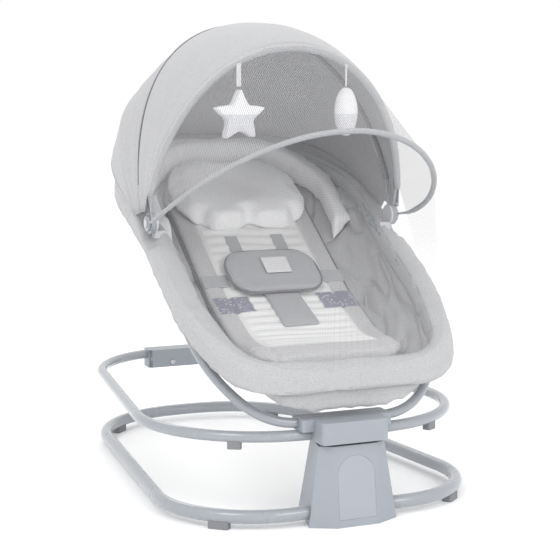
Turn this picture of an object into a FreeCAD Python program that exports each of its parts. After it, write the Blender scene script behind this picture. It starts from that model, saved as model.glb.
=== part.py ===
import FreeCAD, Part
import math
import os
from FreeCAD import Placement, Rotation, Vector

# Bouncer seat: a cradle frame that swings from a motor tower on a floor loop, with a reclining tub seat,
# a folding canopy, an insect net on a bow and two hanging toys.  Millimetres, +Z up, X symmetric.
# -Y is the foot end with the tower, +Y the head end.  The origin lies on the floor under the middle.

os.makedirs("parts", exist_ok=True)
doc = FreeCAD.newDocument("bouncer_seat")
sheet = doc.addObject("Spreadsheet::Sheet", "sizes")

SIZES = (
    ("running_gap", 0.05), ("part_gap", 0.3), ("soft_gap", 0.6),
    # floor loop
    ("base_tube_dia", 22), ("base_tube_wall", 1.6), ("foot_height", 9), ("foot_length", 34),
    ("base_front_y", -388), ("base_corner_x", 276), ("base_corner_y", -404), ("base_front_radius", 160),
    ("base_joint_y", -186), ("base_rear_x", 204), ("base_rear_corner_y", 366), ("base_rear_y", 386),
    ("base_rear_radius", 198), ("base_rear_bow_radius", 420), ("base_foot_x", 204), ("spigot_length", 56),
    ("snap_dia", 7),
    # motor tower
    ("tower_height", 126), ("tower_foot_half", 76), ("tower_top_half", 57), ("tower_foot_front_y", -430),
    ("tower_foot_back_y", -300), ("tower_top_front_y", -414), ("tower_top_back_y", -330),
    ("tower_foot_back_half", 46), ("tower_top_back_half", 38), ("tower_foot_clip_x", 40),
    ("tower_foot_clip_y", 20), ("tower_top_clip_x", 20), ("tower_top_clip_y", 12),
    ("tower_wall", 3), ("tower_floor_thick", 3), ("socket_depth", 22),
    ("cover_width", 64), ("cover_height", 98), ("cover_level", 12), ("cover_thick", 2.4),
    # spindle and drive
    ("spindle_y", -371), ("spindle_dia", 16), ("bearing_dia", 34), ("bearing_height", 10),
    ("lower_bearing_level", 30), ("bearing_spacing", 66), ("magnet_dia", 18), ("magnet_reach", 29),
    ("magnet_height", 8), ("coil_height", 10), ("swing_gap", 4.5), ("board_half", 30), ("board_top", 50),
    # swing head and cradle loop
    ("head_half", 57), ("head_front_y", -420), ("head_back_y", -326), ("nose_back_y", -388),
    ("head_height", 34.5), ("head_shoulder", 15.5), ("head_corner", 7),
    ("cradle_tube_dia", 18), ("cradle_tube_wall", 1.5), ("cradle_level", 138.5),
    ("cradle_front_y", -371), ("cradle_corner_x", 297), ("cradle_corner_y", -364),
    ("cradle_front_radius", 205), ("cradle_rear_x", 197), ("cradle_rear_corner_y", 391),
    ("cradle_rear_y", 411), ("cradle_rear_radius", 198), ("cradle_foot_x", 172), ("cradle_foot_height", 10),
    ("console_half", 80), ("console_depth", 40), ("console_height", 36), ("console_wall", 2.2),
    ("console_level", 112), ("power_button_dia", 10), ("power_button_x", -30), ("button_travel", 2),
    # yoke and arms
    ("yoke_y", -364), ("yoke_level", 157.5), ("yoke_tube_dia", 16), ("yoke_tube_wall", 1.5),
    ("yoke_corner_x", 122), ("yoke_corner_radius", 110), ("arm_bend_radius", 250), ("arm_bend_rise", 105),
    ("yoke_half", 78), ("yoke_depth", 44), ("yoke_height", 19),
    ("recline_y", -215), ("recline_level", 338), ("recline_disc_dia", 36), ("recline_disc_thick", 6),
    ("recline_pin_dia", 10), ("recline_button_dia", 24), ("recline_travel", 4),
    # seat frames and tub
    ("frame_tube_dia", 15), ("frame_tube_wall", 1.4), ("tub_wall", 15), ("tub_cover", 5),
    ("foot_half", 177), ("waist_half", 206), ("chest_half", 229), ("foot_y", -399), ("waist_y", -240),
    ("hub_y", -92), ("chest_y", 10), ("head_y", 229), ("foot_radius", 88), ("waist_radius", 160),
    ("head_radius", 180), ("hub_level", 453), ("frame_hub_level", 428), ("leg_slope", 31.7),
    ("back_slope", 22.8),
    ("rim_half", 236), ("rim_foot_half", 192), ("rim_foot_y", -404),
    ("rim_head_y", 237), ("rim_knee_y", -262),
    ("rim_foot_radius", 100), ("rim_head_radius", 183), ("rim_knee_radius", 240),
    ("rim_thick", 2.5), ("rim_skirt", 28), ("hub_notch", 25),
    ("pad_half", 134), ("pad_thick", 18), ("pad_foot_y", -352), ("pad_head_y", 176),
    ("pillow_half", 134), ("pillow_thick", 26), ("pillow_low_y", 12), ("pillow_high_y", 172),
    ("bumper_width", 50), ("bumper_thick", 38), ("crotch_half", 86), ("crotch_y", -85),
    ("crotch_length", 92), ("crotch_thick", 12), ("strap_width", 24), ("strap_thick", 2.5),
    ("buckle_thick", 7), ("shoulder_x", 44),
    # canopy, net and toys
    ("hoop_tube_dia", 8), ("hub_disc_dia", 36), ("hub_disc_thick", 4),
    ("hub_pin_dia", 8), ("hub_inner_x", 217),
    ("front_lean", -15), ("front_half", 239), ("front_reach", 309), ("front_power", 2.05),
    ("mid_lean", 23.7), ("mid_half", 239), ("mid_reach", 366), ("mid_power", 2.22),
    ("crown_lean", 46), ("crown_half", 248), ("crown_reach", 352), ("crown_power", 3.2),
    ("rear_lean", 69), ("rear_half", 242), ("rear_reach", 374), ("rear_power", 3.6),
    ("hoop_inset", 8), ("canopy_thick", 2), ("canopy_clear", 42), ("net_thick", 1.2), ("net_bow_dia", 7),
    ("net_bow_half", 226), ("net_bow_bulge", 40), ("net_bow_forward", 310), ("net_bow_rise", 160),
    ("toy_x", 97), ("ribbon_length", 38), ("star_span", 96), ("net_rim_gap", 4),
    ("star_thick", 26), ("leaf_width", 40), ("leaf_height", 84),
)

for row, (alias, number) in enumerate(SIZES, start=1):
    sheet.set(f"A{row}", alias)
    sheet.set(f"B{row}", str(number))
    sheet.setAlias(f"B{row}", alias)
doc.recompute()

NODES = []


def size(alias):
    return float(sheet.get(alias))


def bind(thing, **expressions):
    """Ties properties to the sheet: a double underscore stands for a dot in the property's path."""
    for path, text in expressions.items():
        thing.setExpression(path.replace("__", "."), text)


def place(thing, x="0", y="0", z="0"):
    """Ties the piece's place to the sheet."""
    bind(thing, Placement__Base__x=f"({x}) * 1 mm", Placement__Base__y=f"({y}) * 1 mm",
         Placement__Base__z=f"({z}) * 1 mm")


def keep(thing, node):
    """Names a finished sub-part: its Label is its node and its file."""
    thing.Label = node
    NODES.append(thing)
    return thing


def keep_shape(node, shape):
    """A sub-part whose shape comes straight from Part."""
    thing = doc.addObject("Part::Feature", node)
    thing.Shape = shape
    return keep(thing, node)


# ---- sketched bodies -------------------------------------------------------------------------------

def start_body(node):
    return keep(doc.addObject("PartDesign::Body", node), node)


def start_sketch(body, name, role="XY_Plane", lift=None):
    sketch = body.newObject("Sketcher::SketchObject", f"{body.Name}_{name}")
    plane = next(item for item in body.Origin.OriginFeatures if item.Role == role)
    sketch.AttachmentSupport = [(plane, "")]
    sketch.MapMode = "FlatFace"
    if lift:
        bind(sketch, AttachmentOffset__Base__z=f"({lift}) * 1 mm")
    return sketch


def draw_polygon(sketch, corners):
    """A closed outline whose corners stand at bound distances from the sketch's origin."""
    count = len(corners)
    for number in range(count):
        turn, next_turn = (2 * math.pi * value / count for value in (number, number + 1))
        sketch.addGeometry(Part.LineSegment(Vector(20 * math.cos(turn), 20 * math.sin(turn), 0),
                                            Vector(20 * math.cos(next_turn), 20 * math.sin(next_turn), 0)))
    for number in range(count):
        sketch.addConstraint(_constraint("Coincident", number, 2, (number + 1) % count, 1))
    for number, texts in enumerate(corners):
        for kind, text in zip(("DistanceX", "DistanceY"), texts):
            index = sketch.addConstraint(_constraint(kind, -1, 1, number, 1, 1.0))
            name = f"corner{number}{kind[-1]}"
            sketch.renameConstraint(index, name)
            sketch.setExpression(f"Constraints.{name}", f"({text}) * 1 mm")


def tower_outline(level, inset):
    """The six corners of the tower's section: clipped at the front, narrower at the back."""
    half, back_half = (f"(sizes.tower_{level}{part}_half - {inset})" for part in ("", "_back"))
    front = f"sizes.tower_{level}_front_y + {inset}"
    back = f"sizes.tower_{level}_back_y - {inset}"
    clip_x, clip_y = f"sizes.tower_{level}_clip_x", f"sizes.tower_{level}_clip_y"
    return [(f"{half} - {clip_x}", front), (half, f"{front} + {clip_y}"), (back_half, back),
            (f"-{back_half}", back), (f"-{half}", f"{front} + {clip_y}"), (f"{clip_x} - {half}", front)]


def draw_arch(sketch, half, low, spring):
    """A flat-footed arch: two uprights under a half circle."""
    sketch.addGeometry(Part.LineSegment(Vector(-10, 0, 0), Vector(10, 0, 0)))
    sketch.addGeometry(Part.LineSegment(Vector(10, 0, 0), Vector(10, 20, 0)))
    sketch.addGeometry(Part.ArcOfCircle(Part.Circle(Vector(0, 20, 0), Vector(0, 0, 1), 10), 0, math.pi))
    sketch.addGeometry(Part.LineSegment(Vector(-10, 20, 0), Vector(-10, 0, 0)))
    for values in (("Coincident", 0, 2, 1, 1), ("Coincident", 1, 2, 2, 1), ("Coincident", 2, 2, 3, 1),
                   ("Coincident", 3, 2, 0, 1), ("Vertical", 1), ("Horizontal", 2, 3, 2, 1),
                   ("Horizontal", 2, 3, 2, 2)):
        sketch.addConstraint(_constraint(*values))
    for name, kind, line, end, text in (("left", "DistanceX", 0, 1, f"-({half})"),
                                        ("right", "DistanceX", 0, 2, half), ("foot", "DistanceY", 0, 1, low),
                                        ("level", "DistanceY", 0, 2, low),
                                        ("spring", "DistanceY", 2, 3, spring),
                                        ("middle", "DistanceX", 2, 3, "0")):
        index = sketch.addConstraint(_constraint(kind, -1, 1, line, end, 1.0))
        sketch.renameConstraint(index, name)
        sketch.setExpression(f"Constraints.{name}", f"({text}) * 1 mm")


def draw_circle(sketch, name, dia, across="0", up="0"):
    """A circle of bound diameter at a bound centre."""
    index = sketch.addGeometry(Part.Circle(Vector(3, 3, 0), Vector(0, 0, 1), 5))
    for tag, kind, text in (("across", "DistanceX", across), ("up", "DistanceY", up)):
        number = sketch.addConstraint(_constraint(kind, -1, 1, index, 3, 3.0))
        sketch.renameConstraint(number, f"{name}_{tag}")
        sketch.setExpression(f"Constraints.{name}_{tag}", f"({text}) * 1 mm")
    number = sketch.addConstraint(_constraint("Diameter", index, 10.0))
    sketch.renameConstraint(number, f"{name}_dia")
    sketch.setExpression(f"Constraints.{name}_dia", f"({dia}) * 1 mm")


def _constraint(*values):
    import Sketcher
    return Sketcher.Constraint(*values)


def add_pad(body, sketch, length, kind="PartDesign::Pad"):
    """A pad or a pocket of bound length; a pocket has to take something away."""
    doc.recompute()
    before = body.Shape.Volume if kind.endswith("Pocket") else 0.0
    pad = body.newObject(kind, f"{sketch.Name}_{kind.split('::')[1]}")
    pad.Profile = sketch
    bind(pad, Length=f"({length}) * 1 mm")
    doc.recompute()
    if kind.endswith("Pocket") and not pad.Shape.Volume < before - 1e-3:
        pad.Reversed = True
        doc.recompute()
        assert pad.Shape.Volume < before - 1e-3, f"{pad.Name} cuts nothing"
    return pad


def add_loft(body, kind, first, last):
    doc.recompute()
    loft = body.newObject(kind, f"{first.Name}_loft")
    loft.Profile = first
    loft.Sections = [last]
    loft.Ruled = True
    doc.recompute()


def disc(node, dia, thick, bore=None, role="XY_Plane", place_x="0", place_y="0", place_z="0"):
    """A disc or ring, standing along the chosen plane's normal."""
    body = start_body(node)
    sketch = start_sketch(body, "outline", role)
    draw_circle(sketch, "outer", dia)
    if bore:
        draw_circle(sketch, "inner", bore)
    add_pad(body, sketch, thick)
    place(body, place_x, place_y, place_z)
    return body


# ---- bent tubes ------------------------------------------------------------------------------------

def bent_edges(points, radii):
    """Straight runs joined by tangent arcs; a radius of None takes as large an arc as the runs allow."""
    points = [Vector(*point) for point in points]
    edges = []
    start = points[0]
    for number in range(1, len(points) - 1):
        before = points[number - 1] - points[number]
        after = points[number + 1] - points[number]
        inward, outward = Vector(before).normalize(), Vector(after).normalize()
        half_inside = before.getAngle(after) / 2
        radius = radii[number - 1]
        if radius is None:
            radius = 0.46 * min(before.Length, after.Length) * math.tan(half_inside)
        reach = radius / math.tan(half_inside)
        first, last = points[number] + inward * reach, points[number] + outward * reach
        bisector = (inward + outward).normalize()
        middle = points[number] + bisector * (radius / math.sin(half_inside) - radius)
        if (first - start).Length > 1e-4:
            edges.append(Part.LineSegment(start, first).toShape())
        edges.append(Part.Arc(first, middle, last).toShape())
        start = last
    if (points[-1] - start).Length > 1e-4:
        edges.append(Part.LineSegment(start, points[-1]).toShape())
    return edges


def swept_round(edges, dia):
    """A round bar along tangent edges."""
    path = Part.Wire(edges)
    first = edges[0]
    tangent = first.tangentAt(first.FirstParameter)
    start = first.valueAt(first.FirstParameter)
    ring = Part.Wire([Part.Circle(start, tangent, dia / 2).toShape()])
    bar = path.makePipeShell([ring], True, True)
    if bar.Volume < 0:
        bar.reverse()
    return bar


def tube(points, radii, dia, wall):
    """A hollow tube along a bent path."""
    edges = bent_edges(points, radii)
    outer = swept_round(edges, dia)
    return outer.cut(swept_round(edges, dia - 2 * wall)) if wall else outer


def both_sides(node, shape):
    """The given left-hand piece (-X) and its mirror image as two sub-parts."""
    keep_shape(f"{node}_left", shape)
    keep_shape(f"{node}_right", shape.mirror(Vector(0, 0, 0), Vector(1, 0, 0)))


def pair(node, shape):
    """The given left-hand piece and its mirror image as one sub-part of separate solids."""
    twin = shape.mirror(Vector(0, 0, 0), Vector(1, 0, 0))
    return keep_shape(node, Part.makeCompound(list(shape.Solids) + list(twin.Solids)))


def cylinder(dia, length, base, direction=(0, 0, 1)):
    return Part.makeCylinder(dia / 2, length, Vector(*base), Vector(*direction))


def box(low, high):
    low, high = Vector(*low), Vector(*high)
    return Part.makeBox(high.x - low.x, high.y - low.y, high.z - low.z, low)


# ---- floor loop ------------------------------------------------------------------------------------

def base_level():
    return size("foot_height") + size("base_tube_dia") / 2


def front_line(at_x, corner_x, corner_y, front_y):
    """A point on a loop's front run, which leans from the middle to its corner."""
    return front_y + (corner_y - front_y) * at_x / corner_x


def base_joint_x():
    """Where the side run passes the tube joint."""
    side_run = size("base_rear_corner_y") - size("base_corner_y")
    share = (size("base_joint_y") - size("base_corner_y")) / side_run
    return size("base_corner_x") + (size("base_rear_x") - size("base_corner_x")) * share


def joint_frame():
    """The left tube joint: its centre and the side run's heading."""
    side = Vector(size("base_corner_x") - size("base_rear_x"),
                  size("base_rear_corner_y") - size("base_corner_y"), 0).normalize()
    return Vector(-base_joint_x(), size("base_joint_y") + size("part_gap") / 3, base_level()), side


def snap_button(extra):
    """The left joint's spring button, ahead of the joint line, made larger by a clearance."""
    centre, side = joint_frame()
    reach = size("base_tube_dia") / 2 + 0.8
    start = centre - side * (size("spigot_length") / 4)
    return Part.makeCylinder(size("snap_dia") / 2 + extra, reach, start, Vector(-1, 0, 0))


def make_base_front_tubes():
    level = base_level()
    inner_x = size("tower_foot_half") - size("socket_depth")
    inner_y = front_line(inner_x, size("base_corner_x"), size("base_corner_y"), size("base_front_y"))
    points = [(-inner_x, inner_y, level), (-size("base_corner_x"), size("base_corner_y"), level),
              (-base_joint_x(), size("base_joint_y"), level)]
    shape = tube(points, [size("base_front_radius")], size("base_tube_dia"), size("base_tube_wall"))
    both_sides("base_front_tube", shape.cut(snap_button(size("part_gap") / 2)))


def make_base_rear_tube():
    """The rear part of the floor loop, and the spigots that stand out of its ends."""
    level = base_level()
    centre, side = joint_frame()
    points = [(centre.x, centre.y, level), (-size("base_rear_x"), size("base_rear_corner_y"), level),
              (0, size("base_rear_y"), level), (size("base_rear_x"), size("base_rear_corner_y"), level),
              (-centre.x, centre.y, level)]
    corner = size("base_rear_radius")
    keep_shape("base_rear_tube", tube(points, [corner, size("base_rear_bow_radius"), corner],
                                      size("base_tube_dia"), size("base_tube_wall")))
    dia = size("base_tube_dia") - 2 * size("base_tube_wall") - size("part_gap")
    length = size("spigot_length")
    spigot = Part.makeCylinder(dia / 2, length, centre - side * (length / 2), side)
    pair("joint_spigots", spigot.cut(snap_button(size("running_gap"))))


def saddle_foot(x, y, along, tube_dia, level, height, length):
    """A clip-on foot: a block under the tube, hollowed by the tube, on a rounded pad."""
    width = tube_dia * 0.8
    low = level - tube_dia / 2 - height
    block_shape = Part.makeBox(length, width, height + tube_dia * 0.35, Vector(-length / 2, -width / 2, low))
    block_shape = block_shape.makeFillet(width * 0.25, [edge for edge in block_shape.Edges
                                                        if abs(edge.tangentAt(0).z) > 0.9])
    block_shape.Placement = Placement(Vector(x, y, 0), Rotation(Vector(0, 0, 1), along))
    return block_shape


def make_base_feet():
    """Two feet under the front corners and two under the rear bar."""
    level = base_level()
    loop = swept_round(bent_edges(
        [(-60, front_line(60, size("base_corner_x"), size("base_corner_y"), size("base_front_y")), level),
         (-size("base_corner_x"), size("base_corner_y"), level),
         (-base_joint_x(), size("base_joint_y"), level)], [size("base_front_radius")]),
        size("base_tube_dia") + 2 * size("part_gap"))
    front_foot = point_on_front_bend(size("base_foot_x"))
    foot = saddle_foot(front_foot[0], front_foot[1], front_foot[2], size("base_tube_dia"), level,
                       size("foot_height"), size("foot_length"))
    foot = foot.cut(loop)
    rear = tube([(-base_joint_x(), size("base_joint_y"), level),
                 (-size("base_rear_x"), size("base_rear_corner_y"), level), (0, size("base_rear_y"), level)],
                [size("base_rear_radius")], size("base_tube_dia") + 2 * size("part_gap"), 0)
    angle = math.radians(135)
    centre_x, centre_y = rear_bend_centre()
    radius = size("base_rear_radius")
    back_x = centre_x + radius * math.cos(angle)
    back_y = centre_y + radius * math.sin(angle)
    back = saddle_foot(back_x, back_y, 45, size("base_tube_dia"), level, size("foot_height"),
                       size("foot_length"))
    back = back.cut(rear)
    pair("base_feet", Part.makeCompound([foot.Solids[0], back.Solids[0]]))


def bend_centre(before, corner, after, radius):
    """The centre of the arc that rounds a corner."""
    corner = Vector(*corner)
    inward = (Vector(*before) - corner).normalize()
    outward = (Vector(*after) - corner).normalize()
    half_inside = inward.getAngle(outward) / 2
    centre = corner + (inward + outward).normalize() * (radius / math.sin(half_inside))
    return centre.x, centre.y


def rear_bend_centre():
    return bend_centre((-base_joint_x(), size("base_joint_y"), 0),
                       (-size("base_rear_x"), size("base_rear_corner_y"), 0), (0, size("base_rear_y"), 0),
                       size("base_rear_radius"))


def point_on_front_bend(at_x):
    """The place and heading of the front left bend where it reaches a given distance from the middle."""
    centre_x, centre_y = bend_centre(
        (0, size("base_front_y"), 0), (-size("base_corner_x"), size("base_corner_y"), 0),
        (-base_joint_x(), size("base_joint_y"), 0), size("base_front_radius"))
    across = -at_x - centre_x
    drop = math.sqrt(size("base_front_radius") ** 2 - across ** 2)
    return -at_x, centre_y - drop, math.degrees(math.atan2(across, drop))


def make_snap_buttons():
    """Sprung buttons that lock the floor loop's tube joints."""
    pair("snap_buttons", snap_button(0))


# ---- motor tower -----------------------------------------------------------------------------------

def make_tower_shell():
    """A tapered housing, open below, with a spindle hole in its top and a tube socket in each side."""
    body = start_body("tower_shell")
    foot = start_sketch(body, "foot")
    draw_polygon(foot, tower_outline("foot", "0"))
    top = start_sketch(body, "top", lift="sizes.tower_height")
    draw_polygon(top, tower_outline("top", "0"))
    add_loft(body, "PartDesign::AdditiveLoft", foot, top)
    hollow_foot = start_sketch(body, "hollow_foot")
    draw_polygon(hollow_foot, tower_outline("foot", "sizes.tower_wall"))
    hollow_top = start_sketch(body, "hollow_top", lift="sizes.tower_height - sizes.tower_wall")
    draw_polygon(hollow_top, tower_outline("top", "sizes.tower_wall"))
    add_loft(body, "PartDesign::SubtractiveLoft", hollow_foot, hollow_top)
    spindle = start_sketch(body, "spindle_hole", lift="sizes.tower_height")
    draw_circle(spindle, "hole", "sizes.bearing_dia - 4", up="sizes.spindle_y")
    add_pad(body, spindle, "sizes.tower_wall + 4", "PartDesign::Pocket")
    socket = start_sketch(body, "socket_hole", "YZ_Plane", lift="-sizes.tower_foot_half - 5")
    draw_circle(socket, "hole", "sizes.base_tube_dia + 2 * sizes.part_gap",
                across=socket_height_text(), up="sizes.foot_height + sizes.base_tube_dia / 2")
    add_pad(body, socket, "2 * sizes.tower_foot_half + 10", "PartDesign::Pocket")
    cover = start_sketch(body, "cover_recess", "XZ_Plane", lift="-sizes.tower_foot_front_y + 5")
    draw_arch(cover, "sizes.cover_width / 2 + sizes.part_gap", "sizes.cover_level - sizes.part_gap",
              "sizes.cover_level + sizes.cover_height - sizes.cover_width / 2")
    add_pad(body, cover, "36", "PartDesign::Pocket")


def socket_height_text():
    """The tube's line where it enters the tower, as an expression."""
    share = "(sizes.tower_foot_half - sizes.socket_depth / 2) / sizes.base_corner_x"
    return f"sizes.base_front_y + (sizes.base_corner_y - sizes.base_front_y) * {share}"


def tower_front_y(level):
    """The front wall's outer face at a height."""
    share = level / size("tower_height")
    return size("tower_foot_front_y") + (size("tower_top_front_y") - size("tower_foot_front_y")) * share


def make_tower_cover():
    """The arched service cover, which fills the recess flush with the leaning front wall."""
    half, low = size("cover_width") / 2, size("cover_level")
    high = low + size("cover_height")
    spring = high - half
    outline = Part.Wire([
        Part.LineSegment(Vector(-half, 0, low), Vector(half, 0, low)).toShape(),
        Part.LineSegment(Vector(half, 0, low), Vector(half, 0, spring)).toShape(),
        Part.Arc(Vector(half, 0, spring), Vector(0, 0, high), Vector(-half, 0, spring)).toShape(),
        Part.LineSegment(Vector(-half, 0, spring), Vector(-half, 0, low)).toShape(),
    ])
    arch = Part.Face(outline).extrude(Vector(0, 60, 0))
    arch.translate(Vector(0, size("tower_top_front_y") - 20, 0))
    keep_shape("tower_cover", arch.common(front_wall_slab(0, size("cover_thick"))))


def front_wall_slab(outside, inside):
    """A slab that leans with the tower's front wall, between two depths."""
    tall, reach = size("tower_height"), 120
    corners = [Vector(-reach, tower_front_y(0) + outside, 0),
               Vector(-reach, tower_front_y(tall) + outside, tall),
               Vector(-reach, tower_front_y(tall) + inside, tall),
               Vector(-reach, tower_front_y(0) + inside, 0)]
    face = Part.Face(Part.makePolygon(corners + corners[:1]))
    return face.extrude(Vector(2 * reach, 0, 0))


def make_tower_floor():
    body = start_body("tower_floor")
    sketch = start_sketch(body, "outline")
    draw_polygon(sketch, tower_outline("foot", "(sizes.tower_wall + 4 * sizes.part_gap)"))
    add_pad(body, sketch, "sizes.tower_floor_thick")


def make_drive():
    """Bearings on posts, the coil that drives the swing, its board and the mains-adaptor inlet."""
    bore = "sizes.spindle_dia + 2 * sizes.running_gap"
    disc("lower_bearing", "sizes.bearing_dia", "sizes.bearing_height", bore, place_y="sizes.spindle_y",
         place_z="sizes.lower_bearing_level")
    disc("upper_bearing", "sizes.bearing_dia", "sizes.bearing_height", bore, place_y="sizes.spindle_y",
         place_z="sizes.lower_bearing_level + sizes.bearing_spacing")
    thick = size("tower_floor_thick")
    y, level = size("spindle_y"), size("lower_bearing_level")
    height, gap = size("bearing_height"), size("part_gap")
    upper = level + size("bearing_spacing")
    wide = size("bearing_dia") / 2
    lower_cup = cylinder(2 * wide + 8, level + height - 2 - thick, (0, y, thick))
    lower_cup = lower_cup.cut(cylinder(2 * wide, height, (0, y, level)))
    lower_cup = lower_cup.cut(cylinder(size("spindle_dia") + 6, level, (0, y, thick + 3)))
    plate = box((-wide - 14, y - wide + 2, upper - 4), (wide + 14, y + wide + 6, upper + height - 3))
    plate = plate.cut(cylinder(2 * wide + 0.1, height + 2, (0, y, upper)))
    plate = plate.cut(cylinder(size("spindle_dia") + 6, 20, (0, y, upper - 10)))
    post = box((wide + 7, y + 2, thick), (wide + 13, y + wide + 6, upper - 4))
    twin = post.mirror(Vector(0, 0, 0), Vector(1, 0, 0))
    keep_shape("bearing_bridge", plate.fuse([post, twin, lower_cup]).removeSplitter())
    coil_y = y + size("magnet_reach")
    coil_low = (level + upper + height) / 2 - size("coil_height") - size("magnet_height") / 2 - 1.5
    coil = cylinder(size("magnet_dia") + 6, size("coil_height"), (0, coil_y, coil_low))
    coil = coil.cut(cylinder(8 + 2 * gap, 30, (0, coil_y, coil_low - 5)))
    keep_shape("drive_coil", coil)
    core = cylinder(8, coil_low + size("coil_height") - thick, (0, coil_y, thick))
    shoulder = cylinder(14, coil_low - thick, (0, coil_y, thick))
    core = core.fuse(shoulder).removeSplitter()
    keep_shape("coil_post", core)
    half, back = size("board_half"), size("tower_foot_back_y")
    board = box((-half, back - 22, thick + 6), (half, back - 20.4, size("board_top")))
    standoff = box((4 - half, back - 26, thick), (12 - half, back - 20.4, thick + 6))
    keep_shape("circuit_board", board.fuse([standoff, standoff.mirror(Vector(0, 0, 0), Vector(1, 0, 0))])
               .removeSplitter())
    jack = box((-6, back - 20.4 + gap, 12), (6, back - size("tower_wall") - 8, 23))
    jack = jack.cut(cylinder(6, 12, (0, back - 2, 17.5), (0, -1, 0)))
    keep_shape("power_inlet", jack)


def make_swing_spindle():
    """The swing axle with the arm that carries the two drive magnets, and its clamp flange at the head."""
    y, level = size("spindle_y"), size("lower_bearing_level")
    head_low = size("tower_height") + size("swing_gap")
    shaft = cylinder(size("spindle_dia"), head_low - level, (0, y, level))
    upper = level + size("bearing_spacing") + size("bearing_height")
    flange = cylinder(size("spindle_dia") + 10, head_low - upper - 0.6, (0, y, upper + 0.6))
    keep_shape("swing_spindle", shaft.fuse(flange).removeSplitter())
    middle = (level + upper) / 2
    reach = size("magnet_reach")
    arm = cylinder(size("spindle_dia") + 10, 10, (0, y, middle + size("magnet_height") / 2))
    arm = arm.fuse(box((-12, y, middle + size("magnet_height") / 2),
                       (12, y + reach + 10, middle + size("magnet_height") / 2 + 4)))
    arm = arm.cut(cylinder(size("spindle_dia") + 0.1, 40, (0, y, middle - 10)))
    keep_shape("magnet_arm", arm.removeSplitter())
    magnet_low = middle - size("magnet_height") / 2
    magnets = [cylinder(size("magnet_dia") / 2, size("magnet_height"), (x, y + reach, magnet_low))
               for x in (-6.2, 6.2)]
    keep_shape("drive_magnets", Part.makeCompound(magnets))


# ---- swing head, cradle loop and console -----------------------------------------------------------

def head_low():
    return size("tower_height") + size("swing_gap")


def cradle_points():
    level = size("cradle_level")
    inner_x = size("head_half") - 20
    inner_y = front_line(inner_x, size("cradle_corner_x"), size("cradle_corner_y"), size("cradle_front_y"))
    end_x = size("console_half") - 26
    slope = (size("cradle_rear_y") - size("cradle_rear_corner_y")) / size("cradle_rear_x")
    end_y = size("cradle_rear_y") - slope * end_x
    return [(-inner_x, inner_y, level), (-size("cradle_corner_x"), size("cradle_corner_y"), level),
            (-size("cradle_rear_x"), size("cradle_rear_corner_y"), level), (-end_x, end_y, level)]


def make_cradle_tubes():
    both_sides("cradle_tube", tube(cradle_points(), [size("cradle_front_radius"), size("cradle_rear_radius")],
                                   size("cradle_tube_dia"), size("cradle_tube_wall")))


def cradle_holes(extra):
    """The space that the two cradle tubes need, with a clearance."""
    hole = swept_round(bent_edges(cradle_points(), [size("cradle_front_radius"), size("cradle_rear_radius")]),
                       size("cradle_tube_dia") + 2 * extra)
    return [hole, hole.mirror(Vector(0, 0, 0), Vector(1, 0, 0))]


def make_head():
    """The swing head: a low shoulder that takes the cradle tubes and a nose that covers the yoke's front."""
    low, gap = head_low(), size("part_gap")
    half = size("head_half")
    shoulder_top = (half, size("head_back_y"), low + size("head_shoulder"))
    shoulder = box((-half, size("head_front_y"), low), shoulder_top)
    nose = box((-half, size("head_front_y"), low),
               (half, size("nose_back_y"), low + size("head_height")))
    head = shoulder.fuse(nose).removeSplitter()
    standing = [edge for edge in head.Edges
                if edge.Length > 5 and abs(edge.tangentAt(edge.FirstParameter).z) > 0.9]
    upright = [edge for edge in standing
               if abs(abs(edge.CenterOfMass.x) - half) < 1
               and abs(edge.CenterOfMass.y - size("nose_back_y")) > 2]
    head = head.makeFillet(size("head_corner"), upright)
    head = head.cut(cradle_holes(gap / 3))
    keep_shape("swing_head", head)


def make_yoke_bracket():
    """The saddle behind the nose that grips both arms."""
    low, gap = head_low() + size("head_shoulder"), size("part_gap")
    front, back = size("nose_back_y") + gap, size("nose_back_y") + gap + size("yoke_depth")
    saddle_top = (size("yoke_half"), back, low + gap + size("yoke_height"))
    saddle = box((-size("yoke_half"), front, low + gap), saddle_top)
    upright = [edge for edge in saddle.Edges if abs(edge.tangentAt(edge.FirstParameter).z) > 0.9]
    saddle = saddle.makeFillet(5, upright)
    edges = bent_edges(*arm_path())
    hole = swept_round(edges, size("yoke_tube_dia") + 2 * gap / 3)
    saddle = saddle.cut([hole, hole.mirror(Vector(0, 0, 0), Vector(1, 0, 0))])
    saddle = saddle.cut(cradle_holes(gap))
    keep_shape("yoke_bracket", saddle)


def make_cradle_feet():
    """Feet under the cradle loop's front bends, used when the cradle stands on the floor."""
    level, at_x = size("cradle_level"), size("cradle_foot_x")
    edges = bent_edges(cradle_points(), [size("cradle_front_radius"), size("cradle_rear_radius")])
    bend = edges[1].Curve.Center
    radius = size("cradle_front_radius")
    across = -at_x - bend.x
    drop = math.sqrt(radius ** 2 - across ** 2)
    foot = saddle_foot(-at_x, bend.y - drop, math.degrees(math.atan2(across, drop)), size("cradle_tube_dia"),
                       level, size("cradle_foot_height"), 22)
    pair("cradle_feet", foot.cut(cradle_holes(size("part_gap") / 3)[0]))


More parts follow.
